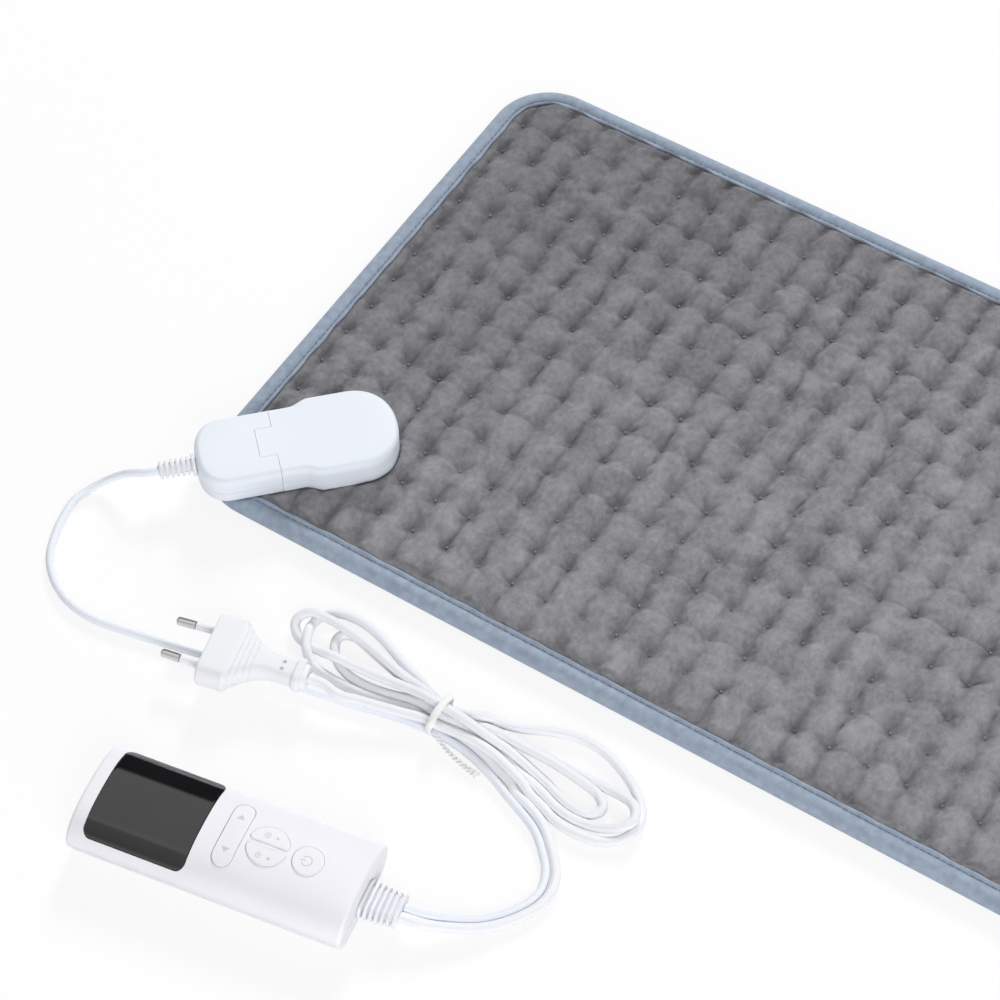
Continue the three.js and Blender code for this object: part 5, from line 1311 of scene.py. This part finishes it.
share = np.linspace(0, 1, 80)[:, None]
tail_start, tail_end = np.array([-130.6, -201.0, 3.0]), np.array([-103.8, -208.9, 1.5])
bow = np.array([0, -1.0, 0]) * np.sin(math.pi * share)
tail = tail_start + share * (tail_end - tail_start) + bow
tail[:, 2] = 1.6 + 1.9 * (1 - share[:, 0]) ** 3
tail_two = tail + np.array([0, 0.35, 0.1]) + share ** 3 * np.array([1.0, 1.4, 0.2])
tie_skin = joined(band(3.4, 0.75), twisted(tail, 1.7, 6.5), twisted(tail_two, 1.5, 5.5))
piece("cord_tie_paper", tie_skin, "cordset", tie_paper, ["cord_tie"], sharp=60)

# %% [markdown]
# Both cords are PVC, laid out by hand: the mains cord leaves the controller, runs
# with the pad cord to the paper tie, is folded there into loops on either side and
# ends in the plug. Each line is a run of points, a few millimetres apart where it
# is folded, joined by Bezier handles worked out from the neighbours, so the curve
# is smooth and passes through every point. A point without a height lies on the
# floor, so its height is the cord's radius.

# %% Cord routes: controller to plug, and connector to controller
def lying(places, level):
    """Points with a height of their own, or else the level of a cord on the floor."""
    return [(*place, level)[:3] for place in places]


MAINS_ROUTE = lying([
    (-92.1, -284.6, 8.2), (-84.8, -283, 7.8), (-78.2, -279.7, 6.5), (-71.8, -275.9, 5.3),
    (-65.7, -271.7, 4.2), (-60.3, -266.6, 3), (-55.7, -260.8), (-51.5, -254.5), (-48.4, -247.7),
    (-47.4, -240.3), (-49.1, -233), (-53.2, -226.7), (-58.3, -221.2), (-63.9, -216.2),
    (-70.2, -212.1), (-77.1, -209.3), (-84.1, -207.1), (-90.5, -203.5), (-97.6, -201.2),
    (-104.6, -198.7), (-111.9, -196.9), (-119.4, -195.9), (-126.9, -195.6), (-134.4, -195.8),
    (-141.9, -195.3), (-149.3, -196.6), (-156.6, -198.4), (-163.9, -199.9), (-171.4, -200.7),
    (-178.9, -200.9), (-186.4, -200.8), (-193.8, -199.5, 2.8), (-199.5, -195.7, 5.5),
    (-203.2, -189.5, 5.9), (-205.6, -183, 3.1), (-204.7, -175.8), (-199.2, -170.9),
    (-191.9, -169.3), (-184.4, -169.7), (-177.1, -171.4), (-170, -173.9), (-163.1, -176.7),
    (-156.1, -179.4), (-148.9, -181.6), (-141.9, -184.3), (-134.7, -186.3), (-127.2, -186),
    (-119.9, -184.2), (-112.4, -184.9), (-105, -185.3), (-97.5, -184.9), (-89.9, -184.7),
    (-82.4, -184.6), (-74.9, -184.8), (-67.4, -184.7), (-59.9, -184.3), (-52.4, -184.5, 2.6),
    (-45.1, -185.3, 4.2), (-38.2, -187.7, 5.9), (-35, -193.9, 6.1), (-39.1, -199.7, 4.9),
    (-45.7, -202.8, 3.4), (-53, -204.2, 2.3), (-60.5, -204.6), (-67.9, -203.4), (-74.9, -201),
    (-82.1, -198.9), (-89.4, -197.4), (-96.6, -195.5), (-104, -193.8, 2.3), (-111.3, -192.6, 3.4),
    (-118.5, -192.5, 5), (-125.9, -193.2, 5.8), (-133.4, -193.5, 6), (-140.8, -192.4, 5.5),
    (-147.9, -192, 3.3), (-155.1, -193.6), (-162.5, -195.3), (-169.9, -196.1), (-177.4, -195.6),
    (-184.4, -193), (-190, -188.1), (-192.3, -181.1), (-186.7, -177.5), (-179.3, -178.8),
    (-172, -180.6), (-164.7, -182.3), (-157.3, -184), (-150.1, -185.9), (-143, -188.5),
    (-136, -191.2), (-128.5, -191.1), (-121.3, -189.2, 2.3), (-114.4, -188.1, 4.5),
    (-107.1, -187.7, 5.9), (-99.6, -187.5, 6), (-92.1, -187.6, 5.9), (-84.6, -187.4, 5.9),
    (-77, -187.6, 5.9), (-69.6, -188.1, 5.5), (-62.2, -188.3, 4.1), (-54.9, -189.2, 2.4),
    (-49.9, -194.3), (-54.2, -199.7), (-61.7, -200.1), (-68.9, -198.4), (-76, -196, 2.3),
    (-83.3, -194.4, 3), (-90.6, -192.9, 3.9), (-98, -192, 5.1), (-105.3, -192, 6.5),
    (-112.6, -191.9, 8.2), (-120, -191.5, 9.4), (-127.5, -191, 9.7), (-135, -190.9, 9.8),
    (-142.4, -190.2, 9.2), (-149.8, -190.2, 7.8), (-157.3, -190.5, 6.9), (-164.7, -191.2, 6.4),
    (-172.2, -191.8, 6.1), (-179.7, -192.6, 6.3), (-187.2, -193.1, 6.3), (-194.2, -192.4, 3.7),
    (-201.5, -191.9), (-208.7, -189.9), (-212.5, -184.4, 4.1), (-208.2, -179.2, 6.4),
    (-200.8, -178, 6.2), (-193.3, -178.1, 6.4), (-185.8, -178.9, 6.4), (-178.4, -180.1, 6.4),
    (-171.1, -181.7, 6.5), (-163.8, -183.4, 6.5), (-156.4, -185.1, 6.5), (-149, -186.1, 6.5),
    (-141.6, -187.3, 6.2), (-134.3, -188.7, 5.9), (-126.8, -188.2, 5.9), (-119.7, -185.9, 6.3),
    (-112.9, -182.9, 5.8), (-106.2, -180.8, 3.1), (-99.3, -178.2), (-92.5, -174.9), (-85.6, -171.9),
    (-78.5, -169.7), (-71, -169), (-63.5, -169.6), (-56.3, -171.7), (-49.4, -174.7), (-43, -178.6),
    (-37.3, -183.5), (-33.5, -189.9), (-33.3, -197.3), (-36.9, -203.8), (-43, -208),
    (-50.3, -209.8), (-57.8, -210.1), (-65.2, -209), (-72.2, -206.4), (-79.3, -204.5, 2.8),
    (-85.9, -201.7, 4.5), (-93, -199.6, 5.2), (-100.3, -197.6, 5.6), (-107.7, -196.8, 6.3),
    (-115.2, -196.7, 6.4), (-122.6, -197.4, 6.2), (-130.1, -198.1, 6), (-137.6, -198.6, 5.9),
    (-144.7, -200.9, 6.5), (-151.8, -203.1, 7.2), (-159, -205.3, 7.9), (-166.1, -207.6, 8.7),
    (-173.2, -209.9, 9.5), (-180.6, -209.2, 10.6), (-187.9, -210.2, 10.9),
], 2.2)
PAD_ROUTE = lying([
    (-306.6, -156.6, 14.5), (-309, -158.9, 14.4), (-311.9, -160.9, 14), (-315.6, -162.3, 12.9),
    (-320, -163.5, 10.7), (-325.2, -166, 7.2), (-330.2, -170.4, 3.9), (-333.8, -176.6, 2.1),
    (-335.6, -184.5), (-333.4, -197.3), (-328.9, -209.4), (-324, -217), (-315.5, -224.4),
    (-304.6, -229.3), (-293.4, -231), (-280.5, -229.8), (-267, -227), (-251, -223.6),
    (-234, -219.6), (-214, -215), (-194, -211.6), (-184.1, -209.9), (-174.2, -208),
    (-164.4, -205.8), (-154.6, -203.5), (-144.8, -201.4), (-134.8, -200.2), (-124.8, -199.7),
    (-114.9, -200.6), (-105, -202.9), (-95.7, -206.1), (-86.7, -210), (-77.1, -213.8),
    (-68.3, -218.1), (-60.7, -224.7), (-54.3, -232.4), (-51.6, -241.8), (-54.4, -251.2),
    (-60, -259.6, 2), (-66.6, -267, 3.4), (-74.6, -272.6, 5.2), (-83.3, -277.3, 7.3),
    (-92.9, -279.9, 8.2),
], 1.9)


def cord_curve(name, route, diameter, finish):
    """One open Bezier spline; a handle is a third of the way along the tangent,
    which is the chord of the two neighbours, at a third of the nearer gap."""
    points = np.array(route) * MM
    gaps = np.linalg.norm(np.diff(points, axis=0), axis=1)
    before, after = np.r_[gaps[0], gaps], np.r_[gaps, gaps[-1]]
    tangents = np.gradient(points, axis=0)
    tangents /= np.linalg.norm(tangents, axis=1)[:, None]
    curve = bpy.data.curves.new(name, "CURVE")
    curve.dimensions = "3D"
    spline = curve.splines.new("BEZIER")
    spline.bezier_points.add(len(points) - 1)
    for kind in ("handle_left_type", "handle_right_type"):
        for point in spline.bezier_points:
            setattr(point, kind, "FREE")
    spline.bezier_points.foreach_set("co", points.ravel())
    left, right = tangents * before[:, None] / 3, tangents * after[:, None] / 3
    spline.bezier_points.foreach_set("handle_left", (points - left).ravel())
    spline.bezier_points.foreach_set("handle_right", (points + right).ravel())
    spline.resolution_u = 6
    curve.bevel_depth = diameter * MM / 2
    curve.bevel_resolution = 5
    curve.use_fill_caps = True
    made = bpy.data.objects.new(name, curve)
    scene.collection.objects.link(made)
    made.data.materials.append(finish)
    return made


# %% Cords
mains_cord = cord_curve("mains_cord", MAINS_ROUTE, 4.4, cord_pvc)
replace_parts(mains_cord, "mains_cord_lead", "mains_cord_hank", "mains_cord_tail")
pad_cord = cord_curve("pad_cord_run", PAD_ROUTE, 3.8, pad_cord_pvc)
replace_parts(pad_cord, "pad_cord")
for one in (mains_cord, pad_cord):
    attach(one, "cordset")
print("cord points", len(MAINS_ROUTE), len(PAD_ROUTE))

# %% [markdown]
# The object lies on a plain white floor. The world is an even white, a large soft
# lamp stands behind the pad's far long side, as the shading of the quilt shows, and
# a weaker one in front on the right. Mirrored in gloss, the world is dark low down
# at the back and greyer in front, which gives the window its black strip. The floor
# is partly its own light towards the camera, so it stays white under soft shadows.

# %% World and lamps
world = bpy.data.worlds.new("studio")
world.use_nodes = True
scene.world = world
sky = world.node_tree
WORLD_LIGHT = 0.41
rays = add(sky, "ShaderNodeLightPath").outputs
seen = maths(sky, "MAXIMUM", rays["Is Camera Ray"], rays["Is Glossy Ray"])
seen = maths(sky, "MAXIMUM", seen, rays["Is Transmission Ray"])
way = add(sky, "ShaderNodeTexCoord").outputs["Generated"]
axes = add(sky, "ShaderNodeSeparateXYZ", {0: way}).outputs
nearer = maths(sky, "MINIMUM", axes["Y"], 0.0)
lifted = maths(sky, "MULTIPLY_ADD", nearer, -0.9, axes["Z"])
horizon = mapped(sky, lifted, (0.03, 1.0), (0.62, 0.69), "SMOOTHSTEP")
front = ramp(sky, mapped(sky, axes["Y"], (0.0, 1.0), (-1.0, 1.0)),
    [(0.06, "eeeeee"), (0.11, "b4b4b4"), (0.33, "c8c8c8"), (0.37, "ffffff"), (0.43, "eeeeee")])
ceiling = maths(sky, "MULTIPLY", horizon, front)
glossy = add(sky, "ShaderNodeMix", {0: rays["Is Glossy Ray"], 2: 1.0, 3: ceiling},
    data_type="FLOAT")
level = mapped(sky, seen, (WORLD_LIGHT, glossy.outputs[0]))
sky.links.new(level, sky.nodes["Background"].inputs["Strength"])
sky.nodes["Background"].inputs["Color"].default_value = (1.0, 1.0, 1.0, 1.0)


def soft_lamp(name, place, target, size, power):
    """A square area lamp at a place in metres that faces a target."""
    data = bpy.data.lights.new(name, "AREA")
    data.shape, data.size, data.energy = "SQUARE", size, power
    made = bpy.data.objects.new(name, data)
    scene.collection.objects.link(made)
    back = np.array(place, float) - np.array(target, float)
    back /= np.linalg.norm(back)
    side = np.cross((0.0, 0.0, 1.0), back)
    side /= np.linalg.norm(side)
    made.matrix_world = standing(side, np.cross(back, side), back, place)
    return made


key_lamp = soft_lamp("key_lamp", (-1.2, 2.7, 1.7), (-0.1, -0.1, 0.0), 0.7, 88.0)
fill_lamp = soft_lamp("fill_lamp", (0.95, -1.2, 0.95), (-0.1, -0.1, 0.0), 1.2, 19.0)
for lamp in (key_lamp, fill_lamp):
    lamp.visible_glossy = False

# %% Floor
FLOOR_HALF, FLOOR_LEVEL = 4000, -0.2
floor_white, tree, shader, where = new_material(
    "floor_matt_white_paper", Roughness=0.9, Base_Color=linear("f7f7f8"),
    Specular_IOR_Level=0.1)
bumped(tree, shader, noise(tree, where, 900.0), 0.02)
paths = add(tree, "ShaderNodeLightPath").outputs
own = add(tree, "ShaderNodeEmission", {"Color": (1.0, 1.0, 1.0, 1.0), "Strength": 1.0})
share = maths(tree, "MULTIPLY", paths["Is Camera Ray"], 0.82)
mixed = add(tree, "ShaderNodeMixShader", {0: share, 1: shader.outputs[0], 2: own.outputs[0]})
tree.links.new(mixed.outputs[0], tree.nodes["Material Output"].inputs["Surface"])
side_lines = np.meshgrid([-FLOOR_HALF, FLOOR_HALF], [-FLOOR_HALF, FLOOR_HALF])
floor_grid = np.stack([*side_lines, np.full((2, 2), FLOOR_LEVEL)], axis=-1)
floor = new_object("floor", skin(floor_grid))
if floor.data.polygons[0].normal.z < 0:
    floor.data.flip_normals()
floor.data.materials.append(floor_white)
floor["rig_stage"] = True

# %% [markdown]
# The CAD pieces whose shape is already right keep it: the contacts, screws, board
# and the other inner parts only get the finish of what they are made of.

# %% Finishes on the CAD nodes that stay
FINISHES = {
    "white_plastic": connector_abs, "white_rubber": relief_pvc, "white_cord": cord_pvc,
    "steel": zinc, "brass": brass, "dark_plastic": dark_abs, "circuit_board": solder_mask,
    "window_glass": lens_glass, "fleece": fleece, "wire_jacket": wire_silicone,
    "binding_tape": twill, "cover_plush": plush, "back_plush": back_plush,
    "tie_paper": tie_paper,
}
stood_for = {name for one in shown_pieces() for name in one.get("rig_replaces", [])}
slots_of = {entry["node"]: entry["material_slot"] for entry in frame["record"]["subparts"]}
kept = 0
for name, node in frame["nodes"].items():
    if name in stood_for or name not in slots_of:
        continue
    for k in range(len(node.material_slots)):
        node.material_slots[k].link = "OBJECT"
        node.material_slots[k].material = FINISHES[slots_of[name]]
    kept += 1
print("CAD nodes with a finish", kept, "of", len(frame["nodes"]))

# %% [markdown]
# Last, the box of the finished scene is printed beside the CAD's own.

shown_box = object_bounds()
sizes = {"cad": [list(corner) for corner in cad_box], "shown": [list(corner) for corner in shown_box]}
for label, corners in sizes.items():
    print(label, [[round(v * 1000, 1) for v in corner] for corner in corners])
